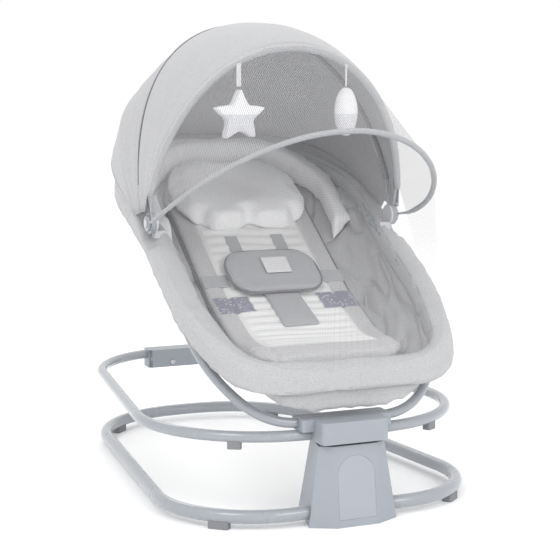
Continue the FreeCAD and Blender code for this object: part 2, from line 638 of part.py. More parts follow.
def make_console():
    """The control console that hangs under the cradle's rear bar and joins its two tubes."""
    wall, low, half = size("console_wall"), size("console_level"), size("console_half")
    y = size("cradle_rear_y")
    depth, high = size("console_depth"), low + size("console_height")
    back = y + size("cradle_tube_dia") / 2
    outer = box((-half, back - depth, low), (half, back, high))
    upright = [edge for edge in outer.Edges if abs(edge.tangentAt(edge.FirstParameter).x) < 0.1
               and abs(edge.tangentAt(edge.FirstParameter).z) > 0.9]
    outer = outer.makeFillet(8, upright)
    inner = box((-half + wall, back - depth + wall, low - 1),
                (half - wall, back - wall, size("cradle_level") - size("cradle_tube_dia") / 2 - 1.2))
    shell = outer.cut(inner).cut(cradle_holes(size("part_gap") / 3))
    hole_start = (size("power_button_x"), back - depth - 5, low + 9.3)
    button_hole = cylinder(size("power_button_dia") + 1, 30, hole_start, (0, 1, 0))
    shell = shell.cut(button_hole)
    keep_shape("console_shell", shell)
    inset = wall + 0.3
    plate = box((-half + inset, back - depth + inset, low), (half - inset, back - inset, low + 2))
    boss = cylinder(26, 3, (36, back - depth / 2, low + 2))
    keep_shape("console_plate", plate.fuse(boss).removeSplitter())
    motor = cylinder(22, 9, (36, back - depth / 2, low + 5 + 0.05))
    keep_shape("vibration_motor", motor)
    travel, front, button_x = size("button_travel"), back - depth, size("power_button_x")
    guide = box((button_x - 12, front + wall + 6 + travel, low + 2),
                (button_x + 12, front + wall + 8 + travel, low + 14))
    keep_shape("button_switch", guide)
    cap = cylinder(size("power_button_dia"), wall + 3.4, (button_x, front - 2.5, low + 9.3), (0, 1, 0))
    rim = cylinder(size("power_button_dia") + 3, 1.4, (button_x, front + wall + 0.9, low + 9.3), (0, 1, 0))
    stem = cylinder(5, 3.4, (button_x, front + wall + 2.3, low + 9.3), (0, 1, 0))
    keep_shape("power_button", cap.fuse([rim, stem]).removeSplitter())


# ---- arms and recline hinge ------------------------------------------------------------------------

def arm_path():
    """The left arm in the leaning plane through the yoke and the recline axis."""
    rise = Vector(0, size("recline_y") - size("yoke_y"), size("recline_level") - size("yoke_level"))
    length = rise.Length
    rise.normalize()
    x = arm_x()

    def at(across, up):
        return (-across, size("yoke_y") + rise.y * up, size("yoke_level") + rise.z * up)

    points = [at(30, 0), at(size("yoke_corner_x"), 0), at(x, size("arm_bend_rise")), at(x, length)]
    return points, [size("yoke_corner_radius"), size("arm_bend_radius")]


def disc_start():
    """Where the recline discs begin, just outside the leg frame's tube."""
    return size("waist_half") - size("tub_cover") + size("frame_tube_dia") / 2 + size("part_gap")


def arm_x():
    return disc_start() + size("recline_disc_thick") * 1.5 + size("part_gap")


def make_arms():
    """The arm tubes, each closed at the top where it meets its disc."""
    points, radii = arm_path()
    start, thick = disc_start(), size("recline_disc_thick")
    outer_face = start + thick + size("part_gap")
    shape = tube(points, radii, size("yoke_tube_dia"), size("yoke_tube_wall"))
    gone = cylinder(size("recline_disc_dia") + 2 * size("part_gap"), 60,
                    (-outer_face - 30, size("recline_y"), size("recline_level")), (1, 0, 0))
    both_sides("arm", shape.cut(gone).Solids[0])


def make_recline_hinges():
    """Toothed discs at each side: the inner one on the tub frame, the outer one on the arm, on one pin."""
    start, thick, gap = disc_start(), size("recline_disc_thick"), size("part_gap")
    y, level = size("recline_y"), size("recline_level")
    dia, pin = size("recline_disc_dia"), size("recline_pin_dia")
    bore = pin + 2 * size("running_gap")
    inner = cylinder(dia, thick, (-start - thick, y, level), (1, 0, 0))
    inner = inner.cut(cylinder(bore, thick + 2, (-start - thick - 1, y, level), (1, 0, 0)))
    pair("recline_disc_inner", inner)
    outer_face = start + thick + gap
    housing = 2 * thick
    outer = cylinder(dia, housing, (-outer_face - housing, y, level), (1, 0, 0))
    outer = outer.cut(cylinder(size("recline_button_dia") + 0.6, thick + 1,
                               (-outer_face - housing - 1, y, level), (1, 0, 0)))
    outer = outer.cut(cylinder(pin, housing + 2, (-outer_face - housing - 1, y, level), (1, 0, 0)))
    pair("recline_disc_outer", outer)
    pin_shape = cylinder(pin, thick + gap + thick, (-outer_face - thick, y, level), (1, 0, 0))
    pair("recline_pins", pin_shape)
    travel = size("recline_travel")
    face = outer_face + housing
    cap = cylinder(size("recline_button_dia"), thick - travel - 0.4 + 2, (-face - 2, y, level), (1, 0, 0))
    both_sides("recline_button", cap)


# ---- seat frames and tub ---------------------------------------------------------------------------

def frame_level(y):
    """The height of the seat ring's tube centre: two flat runs that meet under the canopy hub."""
    slope = size("leg_slope") if y < size("hub_y") else size("back_slope")
    return size("frame_hub_level") + (y - size("hub_y")) * math.tan(math.radians(slope))


def ring_point(x, y):
    return (x, y, frame_level(y))


def half_plan(inset):
    """Corners and bend radii of half the tub's outline seen from above, from the foot to the head."""
    foot, waist, chest = (size(name) - inset for name in ("foot_half", "waist_half", "chest_half"))
    foot_y, head_y = size("foot_y") + inset, size("head_y") - inset
    corners = [(0, foot_y), (foot, foot_y), (waist, size("waist_y")), (waist, size("hub_y")),
               (chest, size("chest_y")), (chest, head_y), (0, head_y)]
    foot_radius, head_radius = size("foot_radius") - inset, size("head_radius") - inset
    waist_radius = size("waist_radius")
    return corners, [foot_radius, waist_radius, waist_radius, waist_radius, head_radius]


def make_seat_frames():
    """The leg frame and the back frame: two U-shaped tubes whose ends meet under the canopy hubs."""
    dia, wall = size("frame_tube_dia"), size("frame_tube_wall")
    corners, radii = half_plan(size("tub_cover"))
    foot, waist, hub, chest, head = corners[1:6]
    hub_x = hub[0]
    gap = 1.0
    split = size("hub_y")

    def across(points):
        return [ring_point(-x, y) for x, y in points] + [ring_point(x, y) for x, y in reversed(points)]

    leg = across([(hub_x, split - gap), waist, foot])
    keep_shape("leg_frame", tube(leg, [radii[1], radii[0], radii[0], radii[1]], dia, wall))
    back = across([(hub_x, split + gap), (hub_x, split + 30), chest, head])
    bends = [60, 100, radii[4]]
    keep_shape("back_frame", tube(back, bends + bends[::-1], dia, wall))


def closed_plan(corners, radii):
    """A closed outline in plan from half of it."""
    right = bent_edges([(x, y, 0) for x, y in corners], radii)
    mirrored = [edge.mirror(Vector(0, 0, 0), Vector(1, 0, 0)) for edge in right]
    return Part.Wire(Part.__sortEdges__(right + mirrored))


def rim_plan(inset):
    """The soft rim's outline in plan, which overhangs the frames."""
    side, foot_x = size("rim_half") - inset, size("rim_foot_half") - inset
    foot_y, head_y = size("rim_foot_y") + inset, size("rim_head_y") - inset
    corners = [(0, foot_y), (foot_x, foot_y), (side, size("rim_knee_y")), (side, head_y), (0, head_y)]
    radii = [size("rim_foot_radius") - inset, size("rim_knee_radius"), size("rim_head_radius") - inset]
    return closed_plan(corners, radii)


def upright(outline, high=900):
    return Part.Face(outline).extrude(Vector(0, 0, high))


def side_slab(points, half):
    """A slab across the seat whose side view is the given outline."""
    corners = [Vector(-half, y, z) for y, z in points]
    return Part.Face(Part.makePolygon(corners + corners[:1])).extrude(Vector(2 * half, 0, 0))


# Heights along the seat, as (y, height, share of the section's side rise).
FLOOR = ((-389, 219, 1.0), (-221, 258, 1.0), (-112, 308, 0.9), (232, 548, 0.5))
UNDERSIDE = ((-404, 176, 1.0), (-330, 187, 1.0), (-221, 220, 1.0), (-112, 272, 0.9), (240, 513, 0.5))
# Sections across the seat, as (half width, rise above the line's height).
FLOOR_SECTION = ((138, 0), (168, 22), (200, 75), (240, 150))
UNDERSIDE_SECTION = ((60, 0), (110, 14), (155, 38), (200, 85), (245, 150))


def floor_height(y):
    """The tub's floor, a bent line from the foot up the back."""
    for (y0, z0, _), (y1, z1, _) in zip(FLOOR[:-1], FLOOR[1:]):
        if y <= y1:
            break
    return z0 + (z1 - z0) * (y - y0) / (y1 - y0)


def trough(line, section, lift=0.0, top=900):
    """A solid that fills a trough, whose section is carried along a line of heights."""
    wires = []
    for y, height, share in line:
        right = [Vector(x, y, height + lift + rise * share) for x, rise in section]
        right.append(Vector(section[-1][0], y, top))
        left = [Vector(-point.x, point.y, point.z) for point in reversed(right)]
        wires.append(Part.makePolygon(right + left + right[:1]))
    return Part.makeLoft(wires, True, True)


def rim_height(y, above):
    """A height measured square to the frame's run from the tube's centre."""
    slope = size("leg_slope") if y <= size("hub_y") else size("back_slope")
    return frame_level(y) + above / math.cos(math.radians(slope))


def make_tub():
    """The fabric tub: a wall round the seat, a sloping floor and a low lip at the foot."""
    below = -size("frame_tube_dia") / 2 - size("part_gap")
    foot, lip = size("foot_y"), 34
    rim = [(y, rim_height(y, below)) for y in (size("head_y"), size("hub_y"), foot + lip)]
    rim += [(foot, rim_height(foot, below)), (foot, 0), (size("head_y"), 0)]
    outer = upright(closed_plan(*half_plan(0))).common(trough(UNDERSIDE, UNDERSIDE_SECTION))
    outer = outer.common(side_slab(rim, 300))
    inner = upright(closed_plan(*half_plan(size("tub_wall"))))
    keep_shape("tub_fabric", outer.cut(inner.common(trough(FLOOR, FLOOR_SECTION))))


def make_fabric_rim():
    """The soft rim that lies over both frames and hangs down outside the recline hinges."""
    thick, skirt = size("rim_thick"), size("rim_skirt")
    above = size("frame_tube_dia") / 2 + size("part_gap")
    stations = (size("rim_head_y") + 1, size("hub_y"), size("rim_foot_y") - 1)

    def band(low, high):
        under = [(y, rim_height(y, low)) for y in stations]
        over = [(y, rim_height(y, high)) for y in reversed(stations)]
        return side_slab(under + over, 300)

    outside = upright(rim_plan(0))
    inside = upright(closed_plan(*half_plan(size("tub_wall") - 1)))
    flange = outside.cut(inside).common(band(above, above + thick))
    hanging = outside.cut(upright(rim_plan(thick))).common(band(above - skirt, above + thick))
    notch, level = size("hub_notch"), frame_level(size("hub_y"))
    gone = box((-300, size("hub_y") - notch, level), (300, size("hub_y") + notch, level + 100))
    gone = gone.cut(box((-150, -900, 0), (150, 900, 900)))
    keep_shape("fabric_rim", flange.fuse(hanging).cut(gone).removeSplitter())


def floor_band(y_from, y_to, lift, thick, half, corner):
    """A pad of even thickness on the tub's sloping floor, with rounded corners in plan."""
    stations = [y_from] + [y for y, _, _ in FLOOR if y_from < y < y_to] + [y_to]
    low = [(y, floor_height(y) + lift) for y in stations]
    high = [(y, floor_height(y) + lift + thick) for y in reversed(stations)]
    slab = side_slab(low + high, 300)
    plan = box((-half, y_from - 1, 0), (half, y_to + 1, 900))
    uprights = [edge for edge in plan.Edges if abs(edge.tangentAt(edge.FirstParameter).z) > 0.9]
    return slab.common(plan.makeFillet(corner, uprights))


def make_soft_seat():
    """The insert pad, pillow, head bumper, crotch pad and straps."""
    gap = size("soft_gap")
    keep_shape("seat_pad", floor_band(size("pad_foot_y"), size("pad_head_y"), gap, size("pad_thick"),
                                      size("pad_half"), 80))
    on_pad = gap * 2 + size("pad_thick")
    keep_shape("head_pillow", floor_band(size("pillow_low_y"), size("pillow_high_y"), on_pad,
                                         size("pillow_thick"), size("pillow_half"), 78))
    mid, half_long = size("crotch_y"), size("crotch_length") / 2
    on_buckle = on_pad + size("buckle_thick") + size("part_gap")
    keep_shape("crotch_pad", floor_band(mid - half_long, mid + half_long, on_buckle, size("crotch_thick"),
                                        size("crotch_half"), 40))
    keep_shape("crotch_strap", floor_band(-212, mid - 20, on_pad, 2 * size("strap_thick"), 34, 8))
    strap, thick = size("strap_width"), size("strap_thick")
    shoulder = floor_band(mid + half_long + 1, size("pillow_low_y") - 1, on_pad, thick, strap / 2, 2)
    shoulder.translate(Vector(-size("shoulder_x"), 0, 0))
    pair("shoulder_straps", shoulder)
    waist = floor_band(mid - strap / 2, mid + strap / 2, on_pad, thick, 24, 2)
    waist.translate(Vector(-size("crotch_half") - 22, 0, 0))
    pair("waist_straps", waist)
    keep_shape("buckle", floor_band(mid - 19, mid + 19, on_pad, size("buckle_thick"), 26, 5))
    inner = upright(closed_plan(*half_plan(size("tub_wall") + gap)))
    core = upright(closed_plan(*half_plan(size("tub_wall") + gap + size("bumper_width"))))
    core.translate(Vector(0, size("bumper_width") * 0.36, 0))
    head = size("head_y")
    low = [(y, floor_height(y)) for y in (0, head)]
    high = [(y, floor_height(y) + on_pad + size("bumper_thick")) for y in (head, 0)]
    bumper = inner.cut(core).common(side_slab(low + high, 300))
    bumper = bumper.common(trough(FLOOR, FLOOR_SECTION, 2 * gap))
    keep_shape("head_bumper", bumper.common(side_slab([(0, 0), (head, 0), (head, rim_height(head, 40)),
                                                       (0, rim_height(0, 40))], 300)))


# ---- canopy, net and toys --------------------------------------------------------------------------

def hoop_point(share, half, reach, power, lean, inset=0.0):
    """A point on a hoop: share runs from 0 at the left hub over the top to 1 at the right hub."""
    turn = math.pi * share
    across = -(half - inset) * math.copysign(abs(math.cos(turn)) ** (2 / power), math.cos(turn))
    up = (reach - inset) * abs(math.sin(turn)) ** (2 / power)
    tilt = math.radians(lean)
    return Vector(across, size("hub_y") + up * math.sin(tilt), size("hub_level") + up * math.cos(tilt))


def hoop_sizes(name):
    return (size(f"{name}_half"), size(f"{name}_reach"), size(f"{name}_power"), size(f"{name}_lean"))


def hoop_rod(name, start_share, inset):
    """A bent rod along a hoop, between two equal shares from the hubs."""
    count = 11
    shares = [start_share + (1 - 2 * start_share) * number / (count - 1) for number in range(count)]
    points = [hoop_point(share, *hoop_sizes(name), inset) for share in shares]
    return swept_round(bent_edges([tuple(point) for point in points], [None] * (count - 2)),
                       size("hoop_tube_dia"))


def grid_solid(outer, inner):
    """A closed thin solid between two like grids of points."""
    faces = []

    def quad(a, b, c, d):
        for corners in ((a, b, c), (a, c, d)):
            faces.append(Part.Face(Part.makePolygon(list(corners) + [corners[0]])))

    rows, columns = len(outer), len(outer[0])
    for i in range(rows - 1):
        for j in range(columns - 1):
            quad(outer[i][j], outer[i][j + 1], outer[i + 1][j + 1], outer[i + 1][j])
            quad(inner[i][j], inner[i + 1][j], inner[i + 1][j + 1], inner[i][j + 1])
    for i in range(rows - 1):
        quad(outer[i][0], outer[i + 1][0], inner[i + 1][0], inner[i][0])
        quad(outer[i][-1], inner[i][-1], inner[i + 1][-1], outer[i + 1][-1])
    for j in range(columns - 1):
        quad(outer[0][j], inner[0][j], inner[0][j + 1], outer[0][j + 1])
        quad(outer[-1][j], outer[-1][j + 1], inner[-1][j + 1], inner[-1][j])
    solid = Part.Solid(Part.Shell(faces))
    if solid.Volume < 0:
        solid.reverse()
    return solid


def start_share(shape, height):
    """The share at which a hoop of the given sizes has climbed a given height from its hub."""
    half, reach, power, lean = shape
    return math.asin((height / reach) ** (power / 2)) / math.pi


def panel(names, ends, rows=6, columns=24):
    """A canopy panel carried over a row of sections, between two places counted in sections."""
    shapes = [hoop_sizes(name) for name in names]
    grids = []
    for inset in (0, size("canopy_thick")):
        grid = []
        for i in range(rows + 1):
            at = ends[0] + (ends[1] - ends[0]) * i / rows
            before = min(int(at), len(shapes) - 2)
            shape = [a + (b - a) * (at - before) for a, b in zip(shapes[before], shapes[before + 1])]
            start = start_share(shape, size("canopy_clear"))
            grid.append([hoop_point(start + (1 - 2 * start) * j / columns, *shape, inset)
                         for j in range(columns + 1)])
        grids.append(grid)
    return grid_solid(*grids)


def net_bow_point(share, inset=0.0):
    """The net bow: it leaves the hubs level and forward, bulges out, then rises to its top."""
    turn = math.pi * share
    lift = math.sin(turn)
    across = -(size("net_bow_half") - inset) * math.cos(turn) - size("net_bow_bulge") * math.sin(2 * turn)
    forward = (size("net_bow_forward") - inset) * (0.75 * lift + 0.25 * lift * lift)
    rise = (size("net_bow_rise") - inset) * (0.05 * lift + 0.95 * lift * lift)
    return Vector(across, size("hub_y") - forward, size("hub_level") + rise)


def rim_point(share):
    """A point just above the leg frame's tube, from the left hub round the foot to the right."""
    turn = math.pi * share
    span = size("hub_y") - size("foot_y") + size("net_rim_gap")
    across = -(size("rim_half") - 4) * math.copysign(abs(math.cos(turn)) ** 0.55, math.cos(turn))
    y = size("hub_y") - span * abs(math.sin(turn)) ** 0.62
    above = size("frame_tube_dia") / 2 + size("part_gap") + size("rim_thick")
    return Vector(across, y, rim_height(y, above) + 1)


def hub_lever(x, end, start, radius):
    """A tapered lever from a hub disc, which it leaves at a distance from the axis, to a rod's end."""
    centre = Vector(x, size("hub_y"), size("hub_level"))
    flat = Vector(0, end.y - centre.y, end.z - centre.z).normalize()
    begin = centre + flat * start
    rings = [Part.Wire([Part.Circle(point, end - begin, dia).toShape()])
             for point, dia in ((begin, 1.6), (end, radius))]
    return Part.makeLoft(rings, True)


def make_canopy():
    """The hub discs and pin at each side, the two hoops and the two fabric panels."""
    y, level = size("hub_y"), size("hub_level")
    dia, thick, gap = size("hub_disc_dia"), size("hub_disc_thick"), size("part_gap")
    pin, run = size("hub_pin_dia"), size("running_gap")
    inner = size("hub_inner_x")
    step = thick + gap
    post = cylinder(dia, 3, (-inner, y, level), (-1, 0, 0))
    tongue = box((-inner - 3, y - 9, frame_level(y)), (-inner, y + 9, level))
    frame_x = size("waist_half") - size("tub_cover")
    saddle_top = frame_level(y) + size("frame_tube_dia") / 2 + 5
    foot = box((-inner, y - 9, frame_level(y)), (-frame_x + 2, y + 9, saddle_top))
    for turn, way in ((size("leg_slope"), -1), (size("back_slope"), 1)):
        run_way = Vector(0, way * math.cos(math.radians(turn)), way * math.sin(math.radians(turn)))
        start = Vector(-frame_x, y, frame_level(y)) - run_way * 10
        foot = foot.cut(Part.makeCylinder(size("frame_tube_dia") / 2 + gap, 60, start, run_way))
    axle = cylinder(pin, 3 + 3 * step + 1.5, (-inner, y, level), (-1, 0, 0))
    knob = cylinder(pin + 6, 2, (-inner - 3 - 3 * step - gap, y, level), (-1, 0, 0))
    pair("canopy_hub", post.fuse([tongue, foot, axle, knob]).removeSplitter())
    for name, node, number in (("mid", "canopy_mid_hoop", 0), ("front", "canopy_front_hoop", 1)):
        at = inner + 3 + gap + number * step
        boss = cylinder(dia, thick, (-at, y, level), (-1, 0, 0))
        twin = boss.mirror(Vector(0, 0, 0), Vector(1, 0, 0))
        start = 0.055
        rod = hoop_rod(name, start, size("hoop_inset"))
        end = hoop_point(start, *hoop_sizes(name), size("hoop_inset"))
        lever = hub_lever(-at - thick / 2 + 0.4, end, dia / 2 - 4, thick / 2 + 1)
        hole = cylinder(pin + 2 * run, 60, (-at + 20, y, level), (-1, 0, 0))
        levers = [lever, lever.mirror(Vector(0, 0, 0), Vector(1, 0, 0))]
        hoop = rod.fuse([boss, twin] + levers)
        hoop = hoop.cut([hole, hole.mirror(Vector(0, 0, 0), Vector(1, 0, 0))])
        keep_shape(node, hoop.removeSplitter())
    keep_shape("canopy_front_panel", panel(("front", "mid"), (0.0, 0.99), 4))
    keep_shape("canopy_rear_panel", panel(("mid", "crown", "rear"), (0.01, 2.0)))


def make_net():
    """The net bow with its clip discs, and the net above and below it."""
    y, level = size("hub_y"), size("hub_level")
    dia, thick, gap = size("hub_disc_dia"), size("hub_disc_thick"), size("part_gap")
    step = thick + gap
    at = size("hub_inner_x") + 3 + gap + 2 * step
    count, start = 13, 0.06
    points = [tuple(net_bow_point(start + (1 - 2 * start) * number / (count - 1))) for number in range(count)]
    rod = swept_round(bent_edges(points, [None] * (count - 2)), size("net_bow_dia"))
    boss = cylinder(dia * 0.75, thick, (-at, y, level), (-1, 0, 0))
    lever = hub_lever(-at - thick / 2, Vector(*points[0]), 10, thick / 2 + 0.8)
    hole = cylinder(size("hub_pin_dia") + 2 * size("running_gap"), 60, (-at + 20, y, level), (-1, 0, 0))
    mirror = (Vector(0, 0, 0), Vector(1, 0, 0))
    bow = rod.fuse([boss, boss.mirror(*mirror), lever, lever.mirror(*mirror)])
    bow = bow.cut([hole, hole.mirror(*mirror)])
    keep_shape("net_bow", bow.removeSplitter())
    shares = [0.12 + 0.76 * j / 24 for j in range(25)]
    thin, rod_space = size("net_thick"), size("net_bow_dia") / 2 + 2
    upper, lower = [], []
    for extra in (0.0, thin):
        hoop = [hoop_point(share, *hoop_sizes("front"), extra) for share in shares]
        bow_line = [net_bow_point(share, extra) for share in shares]
        rim = [shift_in(rim_point(share), extra) for share in shares]
        upper.append(strips(hoop, bow_line, 0.5, rod_space))
        lower.append(strips(bow_line, rim, rod_space, 0))
    keep_shape("net_upper", grid_solid(*upper))
    keep_shape("net_lower", grid_solid(*lower))


def strips(first, last, first_space, last_space, rows=3):
    """Rows of points between two lines, which stop short of each line by a space."""
    grid = []
    for row in range(rows + 1):
        line = []
        for start, end in zip(first, last):
            way = end - start
            reach = first_space + (way.Length - first_space - last_space) * row / rows
            line.append(start + way * (reach / way.Length))
        grid.append(line)
    return grid


def shift_in(point, extra):
    """A point moved towards the middle of the seat."""
    middle = Vector(0, size("hub_y") - 100, point.z)
    away = point - middle
    return point - away.normalize() * extra


def make_toys():
    """A plush star and a plush leaf, each on a ribbon that hangs in front of the front hoop."""
    share = math.acos(size("toy_x") / size("front_half")) / math.pi
    anchor = hoop_point(share, *hoop_sizes("front"), size("hoop_inset"))
    back = anchor.y - size("hoop_tube_dia") / 2 - 2
    top = anchor.z - 2
    low = top - size("ribbon_length")
    for side, name, wide in ((-1, "star_ribbon", 4), (1, "leaf_cord", 1.5)):
        x = side * size("toy_x")
        keep_shape(name, box((x - wide, back - 2, low), (x + wide, back, top)))
    middle_y = back - 1
    span, thick = size("star_span") / 2, size("star_thick")
    centre = Vector(-size("toy_x"), middle_y - thick / 2, low - span - 0.05)
    corners = []
    for number in range(10):
        angle = math.pi / 2 + number * math.pi / 5
        radius = span if number % 2 == 0 else span * 0.52
        corners.append(centre + Vector(radius * math.cos(angle), 0, radius * math.sin(angle)))
    keep_shape("toy_star", Part.Face(Part.makePolygon(corners + corners[:1])).extrude(Vector(0, thick, 0)))
    leaf = doc.addObject("Part::Ellipsoid", "toy_leaf")
    bind(leaf, Radius1="sizes.leaf_height / 2 * 1 mm", Radius2="sizes.leaf_width / 2 * 1 mm",
         Radius3="sizes.leaf_width / 2 * 1 mm", Angle1="-84 deg", Angle2="84 deg")
    leaf_middle = low - size("leaf_height") / 2 - 0.05
    leaf.Placement = Placement(Vector(size("toy_x"), middle_y, leaf_middle), Rotation())
    keep(leaf, "toy_leaf")


for make in (make_base_front_tubes, make_base_rear_tube, make_base_feet, make_snap_buttons, make_tower_shell,
             make_tower_cover, make_tower_floor, make_drive, make_swing_spindle, make_cradle_tubes, make_head,
             make_yoke_bracket, make_cradle_feet, make_console, make_arms, make_recline_hinges,
             make_seat_frames, make_tub, make_fabric_rim, make_soft_seat, make_canopy, make_net, make_toys):
    make()

doc.recompute()
for item in doc.Objects:
    assert "Invalid" not in item.State and "Error" not in item.State, f"{item.Name} did not recompute"
assert len(NODES) <= 60
for node in NODES:
    shape = node.Shape
    assert not shape.isNull() and shape.isValid() and shape.Volume > 0, f"{node.Label} has no valid solid"
    print(f"{node.Label:24s} solids {len(shape.Solids)} volume {shape.Volume / 1000:9.2f} cm3")
    shape.exportStep(f"parts/{node.Label}.step")
print(len(NODES), "nodes")
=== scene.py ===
import math

import bmesh
import bpy
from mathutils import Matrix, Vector, noise


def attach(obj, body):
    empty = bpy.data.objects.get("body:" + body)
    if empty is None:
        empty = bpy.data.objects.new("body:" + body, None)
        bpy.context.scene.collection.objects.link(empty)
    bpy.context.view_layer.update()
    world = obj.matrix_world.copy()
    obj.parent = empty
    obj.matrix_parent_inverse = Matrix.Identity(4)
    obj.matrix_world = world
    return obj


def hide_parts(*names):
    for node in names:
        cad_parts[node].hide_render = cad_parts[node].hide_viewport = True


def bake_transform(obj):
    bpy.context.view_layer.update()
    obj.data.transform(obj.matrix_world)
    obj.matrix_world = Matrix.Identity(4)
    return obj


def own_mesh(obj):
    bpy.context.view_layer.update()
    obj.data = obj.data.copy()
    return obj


# Bouncer seat.  Metres, +Z up, -Y the foot end with the motor tower.
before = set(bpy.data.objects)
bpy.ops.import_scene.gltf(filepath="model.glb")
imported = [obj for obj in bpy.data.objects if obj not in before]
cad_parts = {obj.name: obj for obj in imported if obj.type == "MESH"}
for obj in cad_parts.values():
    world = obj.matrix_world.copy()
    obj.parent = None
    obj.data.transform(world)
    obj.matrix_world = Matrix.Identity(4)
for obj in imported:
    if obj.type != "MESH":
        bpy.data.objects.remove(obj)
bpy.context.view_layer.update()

HUB = Vector((0.0, -0.092, 0.453))
LEG_SLOPE, BACK_SLOPE = math.tan(math.radians(31.7)), math.tan(math.radians(22.8))
FRAME_AT_HUB = 0.428
SHARP_ANGLE = math.radians(32)
# half width, reach, roundness and backward lean of each canopy section
FRONT, MID = (0.239, 0.309, 2.05, -15.0), (0.239, 0.366, 2.22, 23.7)
CROWN, REAR = (0.248, 0.352, 3.2, 46.0), (0.242, 0.374, 3.6, 69.0)


# ---- finishes ---------------------------------------------------------------------------------------

def shade_group(name, outputs, inputs):
    """An empty node group that works on Object coordinates, with float inputs and outputs."""
    group = bpy.data.node_groups.new(name, "ShaderNodeTree")
    for label, value in inputs.items():
        socket = group.interface.new_socket(label, in_out="INPUT", socket_type="NodeSocketFloat")
        socket.default_value = value
    for label in outputs:
        group.interface.new_socket(label, in_out="OUTPUT", socket_type="NodeSocketFloat")
    nodes = group.nodes
    start, end = nodes.new("NodeGroupInput"), nodes.new("NodeGroupOutput")
    where = nodes.new("ShaderNodeTexCoord").outputs["Object"]
    return group, start, end, where


def math_of(tree, kind, first, second):
    """A Math node between two sockets or numbers."""
    node = tree.nodes.new("ShaderNodeMath")
    node.operation = kind
    for number, value in enumerate((first, second)):
        if isinstance(value, (int, float)):
            node.inputs[number].default_value = value
        else:
            tree.links.new(value, node.inputs[number])
    return node.outputs[0]


def noise_at(tree, where, scale, detail=2.0, stretch=(1, 1, 1)):
    mapping = tree.nodes.new("ShaderNodeMapping")
    mapping.inputs["Scale"].default_value = stretch
    tree.links.new(where, mapping.inputs["Vector"])
    texture = tree.nodes.new("ShaderNodeTexNoise")
    texture.inputs["Detail"].default_value = detail
    tree.links.new(mapping.outputs[0], texture.inputs["Vector"])
    if isinstance(scale, (int, float)):
        texture.inputs["Scale"].default_value = scale
    else:
        tree.links.new(scale, texture.inputs["Scale"])
    return texture.outputs["Fac"]


def wave_at(tree, where, scale, axis, distortion=0.6):
    texture = tree.nodes.new("ShaderNodeTexWave")
    texture.bands_direction = axis
    texture.inputs["Distortion"].default_value = distortion
    texture.inputs["Detail"].default_value = 1.0
    tree.links.new(where, texture.inputs["Vector"])
    if isinstance(scale, (int, float)):
        texture.inputs["Scale"].default_value = scale
    else:
        tree.links.new(scale, texture.inputs["Scale"])
    return texture.outputs["Fac"]


def weave_group():
    """Woven cloth with mixed light and dark yarns: a fleck mask and a thread height."""
    group, start, end, where = shade_group("melange_weave", ("Fleck", "Height"),
                                           {"Threads": 260.0, "Fleck scale": 320.0})
    over = wave_at(group, where, start.outputs["Threads"], "X")
    under = wave_at(group, where, start.outputs["Threads"], "Z")
    across = wave_at(group, where, start.outputs["Threads"], "Y")
    crossed = math_of(group, "MULTIPLY", over, under)
    threads = math_of(group, "ADD", crossed, math_of(group, "MULTIPLY", across, 0.5))
    fine = noise_at(group, where, start.outputs["Fleck scale"], 3.0, (0.45, 1.0, 1.0))
    slub = noise_at(group, where, start.outputs["Fleck scale"], 2.0, (1.0, 0.3, 0.3))
    fleck = math_of(group, "ADD", math_of(group, "MULTIPLY", fine, 0.6),
                    math_of(group, "MULTIPLY", slub, 0.4))
    contrast = group.nodes.new("ShaderNodeMapRange")
    contrast.inputs["From Min"].default_value, contrast.inputs["From Max"].default_value = 0.38, 0.62
    group.links.new(fleck, contrast.inputs["Value"])
    group.links.new(contrast.outputs[0], end.inputs["Fleck"])
    group.links.new(threads, end.inputs["Height"])
    return group


def crease_group():
    """Soft creases and a slow change of shade in stretched or stuffed cloth."""
    group, start, end, where = shade_group("cloth_creases", ("Shade", "Height"), {"Crease scale": 9.0})
    slow = noise_at(group, where, start.outputs["Crease scale"], 3.0)
    finer = math_of(group, "MULTIPLY", start.outputs["Crease scale"], 2.5)
    folds = noise_at(group, where, finer, 4.0, (1.0, 0.35, 0.6))
    group.links.new(slow, end.inputs["Shade"])
    group.links.new(math_of(group, "ADD", slow, math_of(group, "MULTIPLY", folds, 0.6)), end.inputs["Height"])
    return group


def mould_group():
    """Fine spark grain of moulded plastic, with faint handling marks."""
    group, start, end, where = shade_group("mould_grain", ("Mark", "Height"), {"Grain scale": 900.0})
    grain = noise_at(group, where, start.outputs["Grain scale"], 2.0)
    mark = noise_at(group, where, 14.0, 5.0)
    group.links.new(mark, end.inputs["Mark"])
    group.links.new(grain, end.inputs["Height"])
    return group


WEAVE, CREASE, MOULD = weave_group(), crease_group(), mould_group()


def start_finish(name, **sockets):
    material = bpy.data.materials.new(name)
    material.use_nodes = True
    shader = material.node_tree.nodes["Principled BSDF"]
    for label, value in sockets.items():
        shader.inputs[label.replace("_", " ")].default_value = value
    return material, material.node_tree, shader


def use_group(tree, group, **values):
    node = tree.nodes.new("ShaderNodeGroup")
    node.node_tree = group
    for label, value in values.items():
        node.inputs[label.replace("_", " ")].default_value = value
    return node


def mix_colours(tree, share, first, second):
    node = tree.nodes.new("ShaderNodeMix")
    node.data_type = "RGBA"
    if isinstance(share, (int, float)):
        node.inputs[0].default_value = share
    else:
        tree.links.new(share, node.inputs[0])
    for socket, colour in ((node.inputs[6], first), (node.inputs[7], second)):
        if isinstance(colour, tuple):
            socket.default_value = (*colour, 1.0)
        else:
            tree.links.new(colour, socket)
    return node.outputs[2]


